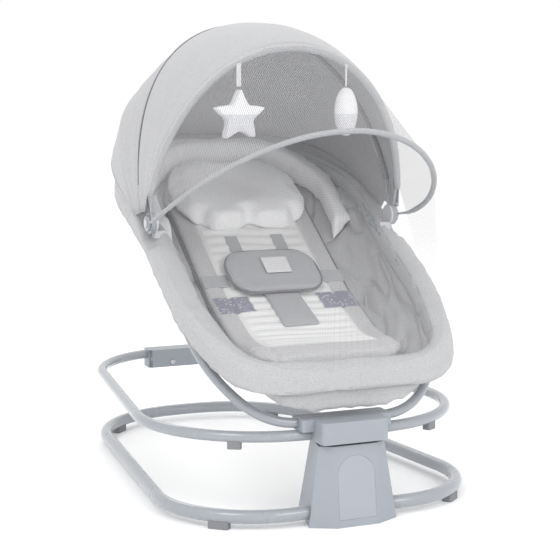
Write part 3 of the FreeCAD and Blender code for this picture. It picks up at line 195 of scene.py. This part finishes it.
def add_bump(tree, shader, height, strength, distance, after=None):
    bump = tree.nodes.new("ShaderNodeBump")
    bump.inputs["Strength"].default_value = strength
    bump.inputs["Distance"].default_value = distance
    tree.links.new(height, bump.inputs["Height"])
    if after:
        tree.links.new(after, bump.inputs["Normal"])
    tree.links.new(bump.outputs[0], shader.inputs["Normal"])
    return bump.outputs[0]


def cloth_finish(name, light, dark, threads=260.0, fleck=320.0, rough=0.85, crease=0.0025, sheen=0.25,
                 crease_scale=9.0):
    """Woven cloth in two yarn colours."""
    material, tree, shader = start_finish(name, Roughness=rough, Sheen_Weight=sheen, Sheen_Roughness=0.5)
    weave = use_group(tree, WEAVE, Threads=threads, Fleck_scale=fleck)
    creases = use_group(tree, CREASE, Crease_scale=crease_scale)
    yarn = mix_colours(tree, weave.outputs["Fleck"], dark, light)
    shaded = tuple(value * 0.9 for value in light)
    share = math_of(tree, "MULTIPLY", creases.outputs["Shade"], 0.35)
    tree.links.new(mix_colours(tree, share, yarn, shaded), shader.inputs["Base Color"])
    soft = add_bump(tree, shader, creases.outputs["Height"], 0.8, crease * 1.6)
    add_bump(tree, shader, weave.outputs["Height"], 0.35, 0.0004, soft)
    return material


def moulded_finish(name, colour, rough=0.42, grain=0.12, coat=0.0, metallic=0.0, grain_scale=900.0):
    """Moulded plastic, painted tube or bare metal, by its sockets."""
    material, tree, shader = start_finish(name, Roughness=rough, Coat_Weight=coat, Coat_Roughness=0.12,
                                          Metallic=metallic)
    mould = use_group(tree, MOULD, Grain_scale=grain_scale)
    duller = tuple(value * 0.93 for value in colour)
    tree.links.new(mix_colours(tree, mould.outputs["Mark"], colour, duller), shader.inputs["Base Color"])
    add_bump(tree, shader, mould.outputs["Height"], grain, 0.0002)
    spread = tree.nodes.new("ShaderNodeMapRange")
    spread.inputs["To Min"].default_value, spread.inputs["To Max"].default_value = rough * 0.85, rough * 1.15
    tree.links.new(mould.outputs["Mark"], spread.inputs["Value"])
    tree.links.new(spread.outputs[0], shader.inputs["Roughness"])
    return material


def insert_finish():
    """The padded insert: a pale satin centre with pleats inside a grey border, and two printed patches."""
    material, tree, shader = start_finish("insert_finish", Roughness=0.7, Sheen_Weight=0.3,
                                          Sheen_Roughness=0.4)
    weave = use_group(tree, WEAVE, Threads=320.0, Fleck_scale=900.0)
    creases = use_group(tree, CREASE, Crease_scale=14.0)
    border = mix_colours(tree, weave.outputs["Fleck"], (0.46, 0.46, 0.47), (0.60, 0.60, 0.605))
    centre = mix_colours(tree, creases.outputs["Shade"], (0.84, 0.84, 0.835), (0.76, 0.76, 0.76))
    zone = tree.nodes.new("ShaderNodeAttribute")
    zone.attribute_name = "zone"
    cloth = mix_colours(tree, zone.outputs["Fac"], border, centre)
    patch = tree.nodes.new("ShaderNodeAttribute")
    patch.attribute_name = "patch"
    where = tree.nodes.new("ShaderNodeTexCoord").outputs["Object"]
    stars = tree.nodes.new("ShaderNodeTexVoronoi")
    stars.inputs["Scale"].default_value = 150.0
    tree.links.new(where, stars.inputs["Vector"])
    dot = math_of(tree, "LESS_THAN", stars.outputs["Distance"], 0.28)
    print_colour = mix_colours(tree, dot, (0.26, 0.26, 0.33), (0.56, 0.56, 0.62))
    tree.links.new(mix_colours(tree, patch.outputs["Fac"], cloth, print_colour), shader.inputs["Base Color"])
    soft = add_bump(tree, shader, creases.outputs["Height"], 0.5, 0.002)
    add_bump(tree, shader, weave.outputs["Height"], 0.25, 0.0003, soft)
    return material


def toy_finish():
    """White fleece above, silver cloth with fine dots below."""
    material, tree, shader = start_finish("toy_finish", Roughness=0.9, Sheen_Weight=0.4, Sheen_Roughness=0.5)
    weave = use_group(tree, WEAVE, Threads=120.0, Fleck_scale=500.0)
    fleece = mix_colours(tree, weave.outputs["Fleck"], (0.86, 0.86, 0.87), (0.94, 0.94, 0.94))
    where = tree.nodes.new("ShaderNodeTexCoord").outputs["Object"]
    dots = tree.nodes.new("ShaderNodeTexVoronoi")
    dots.inputs["Scale"].default_value = 170.0
    dots.inputs["Randomness"].default_value = 0.2
    tree.links.new(where, dots.inputs["Vector"])
    dot = math_of(tree, "LESS_THAN", dots.outputs["Distance"], 0.25)
    silver = mix_colours(tree, dot, (0.66, 0.66, 0.70), (0.88, 0.88, 0.90))
    parts = tree.nodes.new("ShaderNodeSeparateXYZ")
    tree.links.new(where, parts.inputs[0])
    below = math_of(tree, "LESS_THAN", parts.outputs["Z"], 0.634)
    tree.links.new(mix_colours(tree, below, fleece, silver), shader.inputs["Base Color"])
    add_bump(tree, shader, weave.outputs["Height"], 0.4, 0.0006)
    return material


def net_finish(name, thickest):
    """Fine see-through netting: thin pale threads on an open mesh."""
    material, tree, shader = start_finish(name, Roughness=0.8, Sheen_Weight=0.2)
    shader.inputs["Base Color"].default_value = (0.50, 0.50, 0.515, 1.0)
    where = tree.nodes.new("ShaderNodeTexCoord").outputs["UV"]
    across = wave_at(tree, where, 84.0, "X", 0.0)
    along = wave_at(tree, where, 27.0, "Y", 0.0)
    thread = math_of(tree, "MAXIMUM", across, along)
    cover = tree.nodes.new("ShaderNodeMapRange")
    cover.inputs["From Min"].default_value, cover.inputs["From Max"].default_value = 0.45, 1.0
    cover.inputs["To Min"].default_value, cover.inputs["To Max"].default_value = 0.04, thickest
    tree.links.new(thread, cover.inputs["Value"])
    tree.links.new(cover.outputs[0], shader.inputs["Alpha"])
    add_bump(tree, shader, thread, 0.3, 0.0002)
    return material


FINISH = {
    "melange": cloth_finish("melange_finish", (0.50, 0.502, 0.51), (0.385, 0.387, 0.40), fleck=900.0),
    # Dark sleeve cloth for inside the mid hoop: a real sleeve, its dark colour painted shadow of the hoop on
    # the canopy's inside.
    "painted_shadow_sleeve": cloth_finish("lining_finish", (0.27, 0.265, 0.28), (0.21, 0.205, 0.22),
                           fleck=900.0, crease=0.0015),
    "plush": cloth_finish("plush_finish", (0.95, 0.95, 0.95), (0.88, 0.88, 0.89),
                          120.0, 500.0, 0.95, 0.002, 0.5, 16.0),
    "bumper": cloth_finish("bumper_finish", (0.90, 0.90, 0.905), (0.82, 0.82, 0.83),
                           200.0, 700.0, 0.9, 0.003, 0.3),
    "harness": cloth_finish("harness_finish", (0.43, 0.435, 0.45), (0.34, 0.345, 0.36),
                            300.0, 900.0, 0.88, 0.0015),
    "strap": cloth_finish("strap_finish", (0.46, 0.465, 0.48), (0.38, 0.385, 0.40),
                          420.0, 900.0, 0.8, 0.0008),
    "ribbon": cloth_finish("ribbon_finish", (0.78, 0.78, 0.79), (0.66, 0.66, 0.68),
                           500.0, 500.0, 0.6, 0.0005),
    "piping": cloth_finish("piping_finish", (0.42, 0.425, 0.44), (0.33, 0.335, 0.35),
                           500.0, 500.0, 0.75, 0.0005),
    "dark_piping": cloth_finish("dark_piping_finish", (0.21, 0.21, 0.24), (0.15, 0.15, 0.17),
                                500.0, 500.0, 0.8, 0.0005),
    "insert": insert_finish(),
    "toy": toy_finish(),
    "net": net_finish("net_finish", 0.55),
    "fine_net": net_finish("fine_net_finish", 0.17),
    "tube": moulded_finish("tube_paint", (0.33, 0.35, 0.38), 0.28, 0.05, 0.6),
    "tower": moulded_finish("tower_plastic", (0.33, 0.355, 0.395), 0.42, 0.2),
    "cover": moulded_finish("cover_plastic", (0.36, 0.385, 0.43), 0.4, 0.2),
    "hinge": moulded_finish("hinge_plastic", (0.58, 0.585, 0.61), 0.35, 0.12),
    "button": moulded_finish("button_plastic", (0.56, 0.57, 0.60), 0.25, 0.05, 0.4),
    "dark": moulded_finish("dark_plastic", (0.06, 0.06, 0.07), 0.5, 0.2),
    "rubber": moulded_finish("foot_rubber", (0.23, 0.235, 0.25), 0.75, 0.3, grain_scale=600.0),
    "steel": moulded_finish("axle_steel", (0.62, 0.63, 0.65), 0.3, 0.1, metallic=1.0),
    "copper": moulded_finish("coil_copper", (0.72, 0.38, 0.2), 0.35, 0.3, metallic=1.0, grain_scale=1500.0),
    "board": moulded_finish("board_green", (0.04, 0.2, 0.09), 0.4, 0.1, 0.3),
}

NODE_FINISH = {
    "tube": ("base_front_tube_left", "base_front_tube_right", "base_rear_tube", "cradle_tube_left",
             "cradle_tube_right", "arm_left", "arm_right", "leg_frame", "back_frame", "canopy_mid_hoop",
             "canopy_front_hoop", "net_bow", "joint_spigots"),
    "steel": ("snap_buttons", "swing_spindle", "lower_bearing", "upper_bearing", "recline_pins",
              "vibration_motor", "drive_magnets"),
    "rubber": ("base_feet", "cradle_feet"),
    "tower": ("tower_shell", "tower_floor", "swing_head", "yoke_bracket", "console_shell", "console_plate"),
    "cover": ("tower_cover",),
    "hinge": ("recline_disc_inner", "recline_disc_outer", "canopy_hub", "buckle"),
    "button": ("power_button", "recline_button_left", "recline_button_right"),
    "dark": ("bearing_bridge", "coil_post", "magnet_arm", "power_inlet", "button_switch"),
    "copper": ("drive_coil",),
    "board": ("circuit_board",),
}
for finish, names in NODE_FINISH.items():
    for name in names:
        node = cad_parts[name]
        node.data.materials.clear()
        node.data.materials.append(FINISH[finish])


# ---- making pieces ----------------------------------------------------------------------------------

def finish_piece(name, bm, finish, body):
    """A bmesh becomes a smooth piece that rides on a body, or is left unattached where the body is None."""
    mesh = bpy.data.meshes.new(name)
    bm.to_mesh(mesh)
    bm.free()
    mesh.materials.append(FINISH[finish])
    mesh.shade_smooth()
    piece = bpy.data.objects.new(name, mesh)
    bpy.context.scene.collection.objects.link(piece)
    if body:
        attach(piece, body)
    return piece


def take_mesh(piece):
    """Applies the piece's modifiers."""
    view = bpy.context.evaluated_depsgraph_get()
    mesh = bpy.data.meshes.new_from_object(piece.evaluated_get(view), depsgraph=view)
    piece.modifiers.clear()
    piece.data = mesh
    mesh.shade_smooth()


def add_modifier(piece, kind, **settings):
    modifier = piece.modifiers.new(kind.title(), kind)
    for label, value in settings.items():
        setattr(modifier, label, value)
    return modifier


def node_copy(*nodes):
    """A merged copy of CAD nodes as a bmesh."""
    bm = bmesh.new()
    for node in nodes:
        bm.from_mesh(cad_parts[node].data)
    bmesh.ops.remove_doubles(bm, verts=bm.verts, dist=1e-5)
    bmesh.ops.recalc_face_normals(bm, faces=bm.faces)
    return bm


def swell(piece, pressure, cap):
    """Lets the cover swell under stuffing, no further than the cap."""
    before = [vertex.co.copy() for vertex in piece.data.vertices]
    cloth = add_modifier(piece, "CLOTH")
    cloth.settings.use_pressure = True
    cloth.settings.uniform_pressure_force = pressure
    cloth.settings.effector_weights.gravity = 0.0
    cloth.settings.quality = 4
    cloth.settings.tension_stiffness = cloth.settings.compression_stiffness = 12.0
    cloth.point_cache.frame_end = 20
    scene = bpy.context.scene
    for number in range(1, 21):
        scene.frame_set(number)
    take_mesh(piece)
    for vertex, start in zip(piece.data.vertices, before):
        move = vertex.co - start
        if move.length > cap:
            vertex.co = start + move.normalized() * cap
    scene.frame_set(1)


def stuffed(name, nodes, body, finish, voxel=0.005, smooth=6, pressure=4.0, cap=0.008, levels=1):
    """A stuffed piece in the place of plain solids: remeshed, rounded, swollen and then refined."""
    piece = finish_piece(name, node_copy(*nodes), finish, body)
    add_modifier(piece, "REMESH", mode="VOXEL", voxel_size=voxel)
    add_modifier(piece, "SMOOTH", factor=0.5, iterations=smooth)
    take_mesh(piece)
    if cap:
        swell(piece, pressure, cap)
        add_modifier(piece, "SMOOTH", factor=0.5, iterations=2)
    if levels:
        add_modifier(piece, "SUBSURF", levels=levels, render_levels=levels)
    take_mesh(piece)
    piece.data.materials.clear()
    piece.data.materials.append(FINISH[finish])
    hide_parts(*nodes)
    return piece


def softened(name, node, body, finish, radius, shortest):
    """A moulded piece with its sharp edges rounded over."""
    bm = node_copy(node)
    bmesh.ops.dissolve_limit(bm, angle_limit=math.radians(1.0), verts=bm.verts, edges=bm.edges)
    sharp = [edge for edge in bm.edges
             if len(edge.link_faces) == 2 and edge.calc_length() > shortest
             and edge.calc_face_angle() > SHARP_ANGLE]
    bmesh.ops.bevel(bm, geom=sharp, offset=radius, offset_type="OFFSET", affect="EDGES", segments=3,
                    profile=0.5, clamp_overlap=True, material=-1)
    piece = finish_piece(name, bm, finish, body)
    add_modifier(piece, "WEIGHTED_NORMAL", keep_sharp=True)
    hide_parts(node)
    return piece


def shape_by(piece, move):
    """Moves each point along its normal by a rule of its place."""
    normals = [vertex.normal.copy() for vertex in piece.data.vertices]
    for vertex, normal in zip(piece.data.vertices, normals):
        vertex.co += normal * move(vertex.co, normal)
    piece.data.update()


def cloth_strip(name, rows, columns, at, finish, body, thick=0.0012, closed=False):
    """A grid laid over a surface given by two shares, with its UV in metres along and across."""
    bm = bmesh.new()
    bmesh.ops.create_grid(bm, x_segments=columns, y_segments=rows, size=0.5)
    uv = bm.loops.layers.uv.new("UVMap")
    for face in bm.faces:
        for loop in face.loops:
            loop[uv].uv = (loop.vert.co.x + 0.5, loop.vert.co.y + 0.5)
    for vertex in bm.verts:
        vertex.co = at(vertex.co.x + 0.5, vertex.co.y + 0.5)
    if closed:
        bmesh.ops.remove_doubles(bm, verts=bm.verts, dist=1e-5)
    bmesh.ops.recalc_face_normals(bm, faces=bm.faces)
    piece = finish_piece(name, bm, finish, body)
    if thick:
        add_modifier(piece, "SOLIDIFY", thickness=thick, offset=0.0)
        take_mesh(piece)
    return piece


def welt(name, points, radius, finish, body, closed=False):
    """A round welt or sleeve along a smooth line."""
    curve = bpy.data.curves.new(name, "CURVE")
    curve.dimensions = "3D"
    curve.bevel_depth = radius
    curve.bevel_resolution = 3
    curve.use_fill_caps = True
    spline = curve.splines.new("NURBS")
    spline.points.add(len(points) - 1)
    for point, place in zip(spline.points, points):
        point.co = (*place, 1.0)
    spline.order_u = 4
    spline.use_endpoint_u = not closed
    spline.use_cyclic_u = closed
    spline.resolution_u = 4
    holder = bpy.data.objects.new(name + "_line", curve)
    bpy.context.scene.collection.objects.link(holder)
    view = bpy.context.evaluated_depsgraph_get()
    mesh = bpy.data.meshes.new_from_object(holder.evaluated_get(view), depsgraph=view)
    bpy.data.objects.remove(holder)
    bm = bmesh.new()
    bm.from_mesh(mesh)
    bmesh.ops.remove_doubles(bm, verts=bm.verts, dist=1e-6)
    bmesh.ops.recalc_face_normals(bm, faces=bm.faces)
    return finish_piece(name, bm, finish, body)


def ease(value):
    value = min(max(value, 0.0), 1.0)
    return value * value * (3 - 2 * value)


def ramp(stops, value):
    """A value read from stops of (place, value)."""
    if value <= stops[0][0]:
        return stops[0][1]
    for (a, first), (b, second) in zip(stops[:-1], stops[1:]):
        if value <= b:
            return first + (second - first) * (value - a) / (b - a)
    return stops[-1][1]


def frame_line(y):
    return FRAME_AT_HUB + (y - HUB.y) * (LEG_SLOPE if y < HUB.y else BACK_SLOPE)


def rounded_plan(corners, radii, arc_steps=14, run_step=0.012):
    """A closed plan outline from half of it, with rounded corners and evenly stepped runs."""
    half = []
    start = Vector(corners[0])
    for number, radius in enumerate(radii, start=1):
        corner = Vector(corners[number])
        inward = (Vector(corners[number - 1]) - corner).normalized()
        outward = (Vector(corners[number + 1]) - corner).normalized()
        half_angle = inward.angle(outward) / 2
        reach = radius / math.tan(half_angle)
        first, last = corner + inward * reach, corner + outward * reach
        centre = corner + (inward + outward).normalized() * (radius / math.sin(half_angle))
        steps = max(1, round((first - start).length / run_step))
        half += [start.lerp(first, step / steps) for step in range(steps)]
        turn = (first - centre).angle_signed(last - centre)
        for step in range(arc_steps):
            angle = -turn * step / arc_steps
            spoke = first - centre
            half.append(centre + Vector((spoke.x * math.cos(angle) - spoke.y * math.sin(angle),
                                         spoke.x * math.sin(angle) + spoke.y * math.cos(angle))))
        start = last
    end = Vector(corners[-1])
    steps = max(1, round((end - start).length / run_step))
    half += [start.lerp(end, step / steps) for step in range(steps)] + [end]
    return half + [Vector((-point.x, point.y)) for point in reversed(half[1:-1])]


def hoop(share, shape, inset=0.0):
    """A point on a canopy section, from the left hub over the top to the right hub."""
    half, reach, power, lean = shape
    turn = math.pi * share
    across = -(half - inset) * math.copysign(abs(math.cos(turn)) ** (2 / power), math.cos(turn))
    up = (reach - inset) * max(math.sin(turn), 0.0) ** (2 / power)
    tilt = math.radians(lean)
    return Vector((across, HUB.y + up * math.sin(tilt), HUB.z + up * math.cos(tilt)))


def bow(share):
    """A point on the net bow."""
    turn = math.pi * share
    lift = math.sin(turn)
    across = -0.226 * math.cos(turn) - 0.040 * math.sin(2 * turn)
    return Vector((across, HUB.y - 0.310 * (0.75 * lift + 0.25 * lift * lift),
                   HUB.z + 0.160 * (0.05 * lift + 0.95 * lift * lift)))


def section_between(stops, at):
    """The canopy section at a place counted in sections."""
    before = min(int(at), len(stops) - 2)
    share = at - before
    return tuple(a + (b - a) * share for a, b in zip(stops[before], stops[before + 1]))


RIM_OUT = rounded_plan([(0, -0.404), (0.192, -0.404), (0.236, -0.262), (0.236, 0.237), (0, 0.237)],
                       [0.100, 0.240, 0.183])
TUB_IN = rounded_plan([(0, -0.385), (0.163, -0.385), (0.192, -0.240), (0.192, -0.092), (0.215, 0.010),
                       (0.215, 0.215), (0, 0.215)], [0.074, 0.150, 0.150, 0.150, 0.166])
RIM_IN = [min(TUB_IN, key=lambda point: (point - out).length) for out in RIM_OUT]
# share across the cloth, share from the tub to the rim's edge, height above the frame line
RIM_SECTION = ((0.0, 0.0, -0.016), (0.10, 0.01, -0.004), (0.2, 0.07, 0.006), (0.32, 0.2, 0.0105),
               (0.48, 0.42, 0.0125), (0.62, 0.66, 0.012), (0.76, 0.88, 0.009), (0.86, 0.985, 0.002),
               (0.93, 1.0, -0.008), (1.0, 1.0, -0.021))


def rim_place(along, across):
    """The padded rim: over the frame tube and down outside it, dropped where the canopy hubs stand."""
    count = len(RIM_OUT)
    at = along * count
    number, share = int(at) % count, at - int(at)
    out = RIM_OUT[number].lerp(RIM_OUT[(number + 1) % count], share)
    inner = RIM_IN[number].lerp(RIM_IN[(number + 1) % count], share)
    wide = ramp([(v, d) for v, d, h in RIM_SECTION], across)
    high = ramp([(v, h) for v, d, h in RIM_SECTION], across)
    place = inner.lerp(out, wide)
    near_hub = ease(1.6 - abs(place.y - HUB.y) / 0.022) if abs(place.x) > 0.15 else 0.0
    high = high + (min(high, -0.010) - high) * near_hub * ease((wide - 0.3) / 0.3)
    slope = LEG_SLOPE if place.y < HUB.y else BACK_SLOPE
    return Vector((place.x, place.y, frame_line(place.y) + high * math.sqrt(1 + slope * slope)))


def make_rim():
    rim = cloth_strip("rim_roll", 26, len(RIM_OUT), rim_place, "melange", "seat", 0.0022,
                      closed=True)
    add_modifier(rim, "SMOOTH", factor=0.4, iterations=3)
    take_mesh(rim)
    shape_by(rim, lambda co, normal: 0.0030 * noise.noise(Vector((co.x * 22, co.y * 40, co.z * 20)))
             + 0.0016 * noise.noise(Vector((co.x * 60, co.y * 60, co.z * 60))))
    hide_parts("fabric_rim")
    line = []
    for number in range(0, len(RIM_OUT), 2):
        place = rim_place(number / len(RIM_OUT), 0.26)
        line.append(place + Vector((0, 0, 0.001)))
    welt("rim_piping", line, 0.0016, "piping", "seat", closed=True)


def make_tub():
    tub = stuffed("tub_shell", ("tub_fabric",), "seat", "melange", 0.0075, 8, 3.0, 0.004)

    def folds(co, normal):
        sides = ease((abs(co.x) - 0.10) / 0.08)
        along = noise.noise(Vector((co.x * 42, (co.y + co.z) * 7, (co.z - co.y) * 26)))
        wrinkle = 0.7 * along + 0.5 * noise.noise(Vector((co.x * 16, co.y * 16, co.z * 34)))
        crease = noise.noise(Vector((co.x * 6, (co.y + co.z) * 5, (co.z - co.y * 0.75) * 30)))
        wrinkle -= 1.6 * max(1 - abs(crease) * 5, 0.0) ** 2
        gathers = 0.0
        if co.y < -0.36:
            gathers = math.sin(co.x * 210 + 3 * noise.noise(co * 12)) * ease((0.205 - co.z) / 0.02)
        return 0.0050 * wrinkle * (0.25 + sides) + 0.0008 * gathers

    shape_by(tub, folds)


def pad_line(y):
    """The tub floor's height along its middle."""
    return ramp(((-0.389, 0.219), (-0.221, 0.258), (-0.112, 0.308), (0.232, 0.548)), y)


def make_insert():
    pad = stuffed("seat_insert", ("seat_pad",), "seat", "insert", 0.0045, 5, 3.0, 0.0008)

    def channels(co, normal):
        top = ease((co.z - pad_line(co.y) - 0.010) / 0.006)
        inside = abs(co.x) < 0.098 and -0.300 < co.y < 0.17
        edge = min(abs(abs(co.x) - 0.098), abs(co.y + 0.300))
        in_from_edge = ease((0.134 - abs(co.x)) / 0.012) * ease((co.y + 0.352) / 0.012)
        foot_lift = 0.013 * ease((-0.24 - co.y) / 0.08) * in_from_edge
        seam = -0.0028 * math.exp(-(edge / 0.0035) ** 2)
        pleat = 0.0
        if inside:
            pleat = 0.0011 * math.sin(co.y * 330 + 1.2 * math.sin(co.x * 25))
            pleat = pleat * ease((0.098 - abs(co.x)) / 0.02)
        return (seam + pleat + foot_lift) * top

    shape_by(pad, channels)
    zone = pad.data.attributes.new("zone", "FLOAT", "POINT")
    patch = pad.data.attributes.new("patch", "FLOAT", "POINT")
    for number, vertex in enumerate(pad.data.vertices):
        co = vertex.co
        zone.data[number].value = ease((0.0985 - abs(co.x)) / 0.002) * ease((co.y + 0.300) / 0.002)
        on_patch = ease((0.128 - abs(co.x)) / 0.002) * ease((abs(co.x) - 0.062) / 0.002)
        patch.data[number].value = on_patch * ease((co.y + 0.165) / 0.002) * ease((-0.118 - co.y) / 0.002)
    outline = rounded_plan([(0, -0.353), (0.135, -0.353), (0.135, 0.177), (0, 0.177)], [0.08, 0.08])
    line = [Vector((point.x, point.y, pad_line(point.y) + 0.008 + 0.008 * ease((-0.26 - point.y) / 0.08)))
            for point in outline[::2]]
    welt("insert_piping", line, 0.0022, "dark_piping", "seat", closed=True)


def make_soft_parts():
    """Pillow, bumper, harness and toys."""
    pillow = stuffed("pillow", ("head_pillow",), "seat", "plush", 0.005, 10, 5.0, 0.010)

    def pillow_form(co, normal):
        on_top = ease((normal.z + 0.1) / 0.5)
        dent = -0.008 * math.exp(-((co.x / 0.05) ** 2 + ((co.y - 0.10) / 0.04) ** 2))
        lobe = -0.010 * abs(math.cos(co.x * 34)) ** 6 * ease((0.045 - co.y) / 0.02)
        return 0.0016 * noise.noise(co * 22) + dent * on_top + lobe

    shape_by(pillow, pillow_form)
    bumper = stuffed("bumper", ("head_bumper",), "seat", "bumper", 0.005, 10, 4.0, 0.007)
    shape_by(bumper, lambda co, normal: 0.002 * noise.noise(Vector((co.x * 30, co.y * 30, co.z * 12))))
    crotch = stuffed("crotch_cover", ("crotch_pad",), "seat", "harness", 0.0035, 5, 4.0,
                     0.0015)
    outline = rounded_plan([(0, -0.131), (0.086, -0.131), (0.086, -0.039), (0, -0.039)], [0.04, 0.04])
    line = [Vector((point.x, point.y, pad_line(point.y) + 0.0325)) for point in outline[::2]]
    welt("crotch_piping", line, 0.0018, "dark_piping", "seat", closed=True)
    tail = stuffed("crotch_tail", ("crotch_strap",), "seat", "harness", 0.0022, 4, 3.0,
                   0.002)
    stuffed("shoulder_webbing", ("shoulder_straps",), "seat", "strap", 0.0011, 2,
            cap=0, levels=0)
    stuffed("waist_webbing", ("waist_straps",), "seat", "strap", 0.0011, 2,
            cap=0, levels=0)
    star = stuffed("plush_star", ("toy_star",), "toy_star", "toy", 0.003, 8, 6.0, 0.008)
    leaf = stuffed("plush_leaf", ("toy_leaf",), "toy_leaf", "toy", 0.003, 4, 4.0, 0.002)
    shape_by(leaf, lambda co, normal: -0.0012 * math.exp(-((co.x - 0.097) / 0.002) ** 2))
    stuffed("star_loop", ("star_ribbon",), "toy_star", "ribbon", 0.0007, 1, cap=0, levels=0)
    stuffed("leaf_loop", ("leaf_cord",), "toy_leaf", "ribbon", 0.0005, 1, cap=0, levels=0)


def make_label():
    """A blank sewn label on the crotch cover."""
    middle, half_wide, half_long = Vector((0.006, -0.083)), 0.024, 0.017

    def place(along, across):
        x = middle.x + (along - 0.5) * 2 * half_wide
        y = middle.y + (across - 0.5) * 2 * half_long
        return Vector((x, y, pad_line(y) + 0.0440))

    label = cloth_strip("blank_label", 12, 16, place, "ribbon", "seat", 0.0008)


def canopy_place(stops, first, last, base, sag):
    """A surface over canopy sections, hollowed a little between its two ends."""
    def place(along, across):
        at = first + (last - first) * across
        shape = section_between(stops, at)
        start = math.asin((base / shape[1]) ** (shape[2] / 2)) / math.pi
        share = start + (1 - 2 * start) * along
        dip = sag * math.sin(math.pi * (at % 1.0)) * math.sin(math.pi * share)
        low = math.exp(-((0.5 - abs(share - 0.5)) / 0.22) ** 2)
        ripple = 0.0012 * noise.noise(Vector((along * 9, at * 7, 0.3)))
        ripple += 0.0035 * low * noise.noise(Vector((along * 5, at * 11, 2.3)))
        return hoop(share, shape, 0.0012 + dip + ripple)
    return place


def make_canopy():
    front = cloth_strip("canopy_front_cloth", 22, 110, canopy_place((FRONT, MID), 0.0, 0.992, 0.020, 0.005),
                        "melange", None, 0.0016)
    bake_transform(front)
    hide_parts("canopy_front_panel")
    rear = cloth_strip("canopy_rear_cloth", 30, 110,
                       canopy_place((MID, CROWN, REAR), 0.008, 2.0, 0.020, 0.003),
                       "melange", None, 0.0016)
    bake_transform(rear)
    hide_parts("canopy_rear_panel")
    ring = [rim_place((number + 0.5) / 400, 0.80) for number in range(400)]

    def behind(along, across):
        above = hoop(0.012 + 0.976 * along, REAR, 0.0012)
        flat = Vector((above.x, above.y, 0.0))
        below = min(ring, key=lambda place: (place.x - flat.x) ** 2 + (place.y - flat.y) ** 2)
        return above.lerp(below, across)

    skirt = cloth_strip("canopy_rear_skirt", 6, 110, behind, "melange", "seat", 0.0014)
    shares = [0.05 + 0.9 * number / 48 for number in range(49)]
    for name, shape, inset, radius, finish, body, slot in (
            ("canopy_hem", FRONT, 0.0062, 0.0060, "melange", "canopy_front", "melange_fabric"),
            ("canopy_edge", FRONT, 0.0125, 0.0014, "dark_piping", "canopy_front", "strap_web"),
            ("canopy_seam", MID, 0.0, 0.0016, "dark_piping", "canopy_mid", "strap_web"),
            # the mid hoop's sleeve is real cloth; its dark colour is painted shadow of the hoop inside the
            # canopy
            ("canopy_mid_sleeve", MID, 0.0080, 0.0055, "painted_shadow_sleeve", "canopy_mid", "melange_fabric")):
        welt(name, [hoop(share, shape, inset) for share in shares], radius, finish, body)


def rim_under_net(share):
    turn = math.pi * share
    across = -0.232 * math.copysign(abs(math.cos(turn)) ** 0.55, math.cos(turn))
    y = HUB.y - 0.316 * abs(math.sin(turn)) ** 0.62
    return Vector((across, y, frame_line(y) + 0.013))


def make_net():
    def upper(along, across):
        share = 0.05 + 0.90 * along
        return hoop(share, FRONT, 0.002).lerp(bow(share), 0.01 + 0.975 * across)

    def lower(along, across):
        share = 0.05 + 0.90 * along
        place = bow(share).lerp(rim_under_net(share), 0.015 + 0.98 * across)
        slack = 0.010 * math.sin(math.pi * across) * math.sin(math.pi * along)
        return place + Vector((0, slack, 0))

    over = cloth_strip("net_over_bow", 10, 80, upper, "net", None, 0.0)
    under = cloth_strip("net_below_bow", 14, 80, lower, "fine_net", "net_bow", 0.0)
    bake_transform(over)
    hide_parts("net_upper")
    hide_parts("net_lower")
    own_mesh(under)
    shares = [0.075 + 0.85 * number / 48 for number in range(49)]
    welt("bow_sleeve", [bow(share) for share in shares], 0.0039, "piping", "net_bow")


softened("tower_body", "tower_shell", "base", "tower", 0.0016, 0.0032)
softened("tower_front_cover", "tower_cover", "base", "cover", 0.0008, 0.0016)
softened("console_body", "console_shell", "swing_frame", "tower", 0.0016, 0.0032)
make_tub()
make_rim()
make_insert()
make_soft_parts()
make_label()
make_canopy()
make_net()


# ---- room, light and camera -------------------------------------------------------------------------

def aim(thing, target):
    thing.rotation_euler = (Vector(target) - thing.location).to_track_quat("-Z", "Y").to_euler()


def add_light(name, place, target, energy, size):
    data = bpy.data.lights.new(name, "AREA")
    data.energy, data.shape, data.size = energy, "DISK", size
    light = bpy.data.objects.new(name, data)
    bpy.context.scene.collection.objects.link(light)
    light.location = place
    aim(light, target)


def make_room():
    floor_material, tree, shader = start_finish("floor_paint", Roughness=0.95)
    shader.inputs["Base Color"].default_value = (0.97, 0.97, 0.97, 1.0)
    shader.inputs["Emission Color"].default_value = (1.0, 1.0, 1.0, 1.0)
    shader.inputs["Emission Strength"].default_value = 0.05
    bm = bmesh.new()
    bmesh.ops.create_grid(bm, x_segments=2, y_segments=2, size=14.0)
    mesh = bpy.data.meshes.new("floor")
    bm.to_mesh(mesh)
    bm.free()
    mesh.materials.append(floor_material)
    floor = bpy.data.objects.new("floor", mesh)
    bpy.context.scene.collection.objects.link(floor)
    world = bpy.data.worlds.new("studio")
    world.use_nodes = True
    world.node_tree.nodes["Background"].inputs["Color"].default_value = (1.0, 1.0, 1.0, 1.0)
    world.node_tree.nodes["Background"].inputs["Strength"].default_value = 1.0
    bpy.context.scene.world = world
    middle = (0, -0.05, 0.4)
    add_light("key", (-1.9, -1.6, 2.6), middle, 26, 1.4)
    add_light("fill", (0.9, -2.8, 1.7), (0, 0.08, 0.5), 22, 1.6)
    add_light("back", (0.4, 2.4, 2.4), middle, 14, 1.6)


make_room()
camera_data = bpy.data.cameras.new("camera")
camera_data.lens, camera_data.sensor_width = 93.6, 36.0
camera = bpy.data.objects.new("camera", camera_data)
bpy.context.scene.collection.objects.link(camera)
camera.location = (-0.9692, -2.4084, 0.6765)
aim(camera, (-0.090, -0.327, 0.379))
bpy.context.scene.camera = camera
bpy.context.scene.view_settings.view_transform = "Standard"
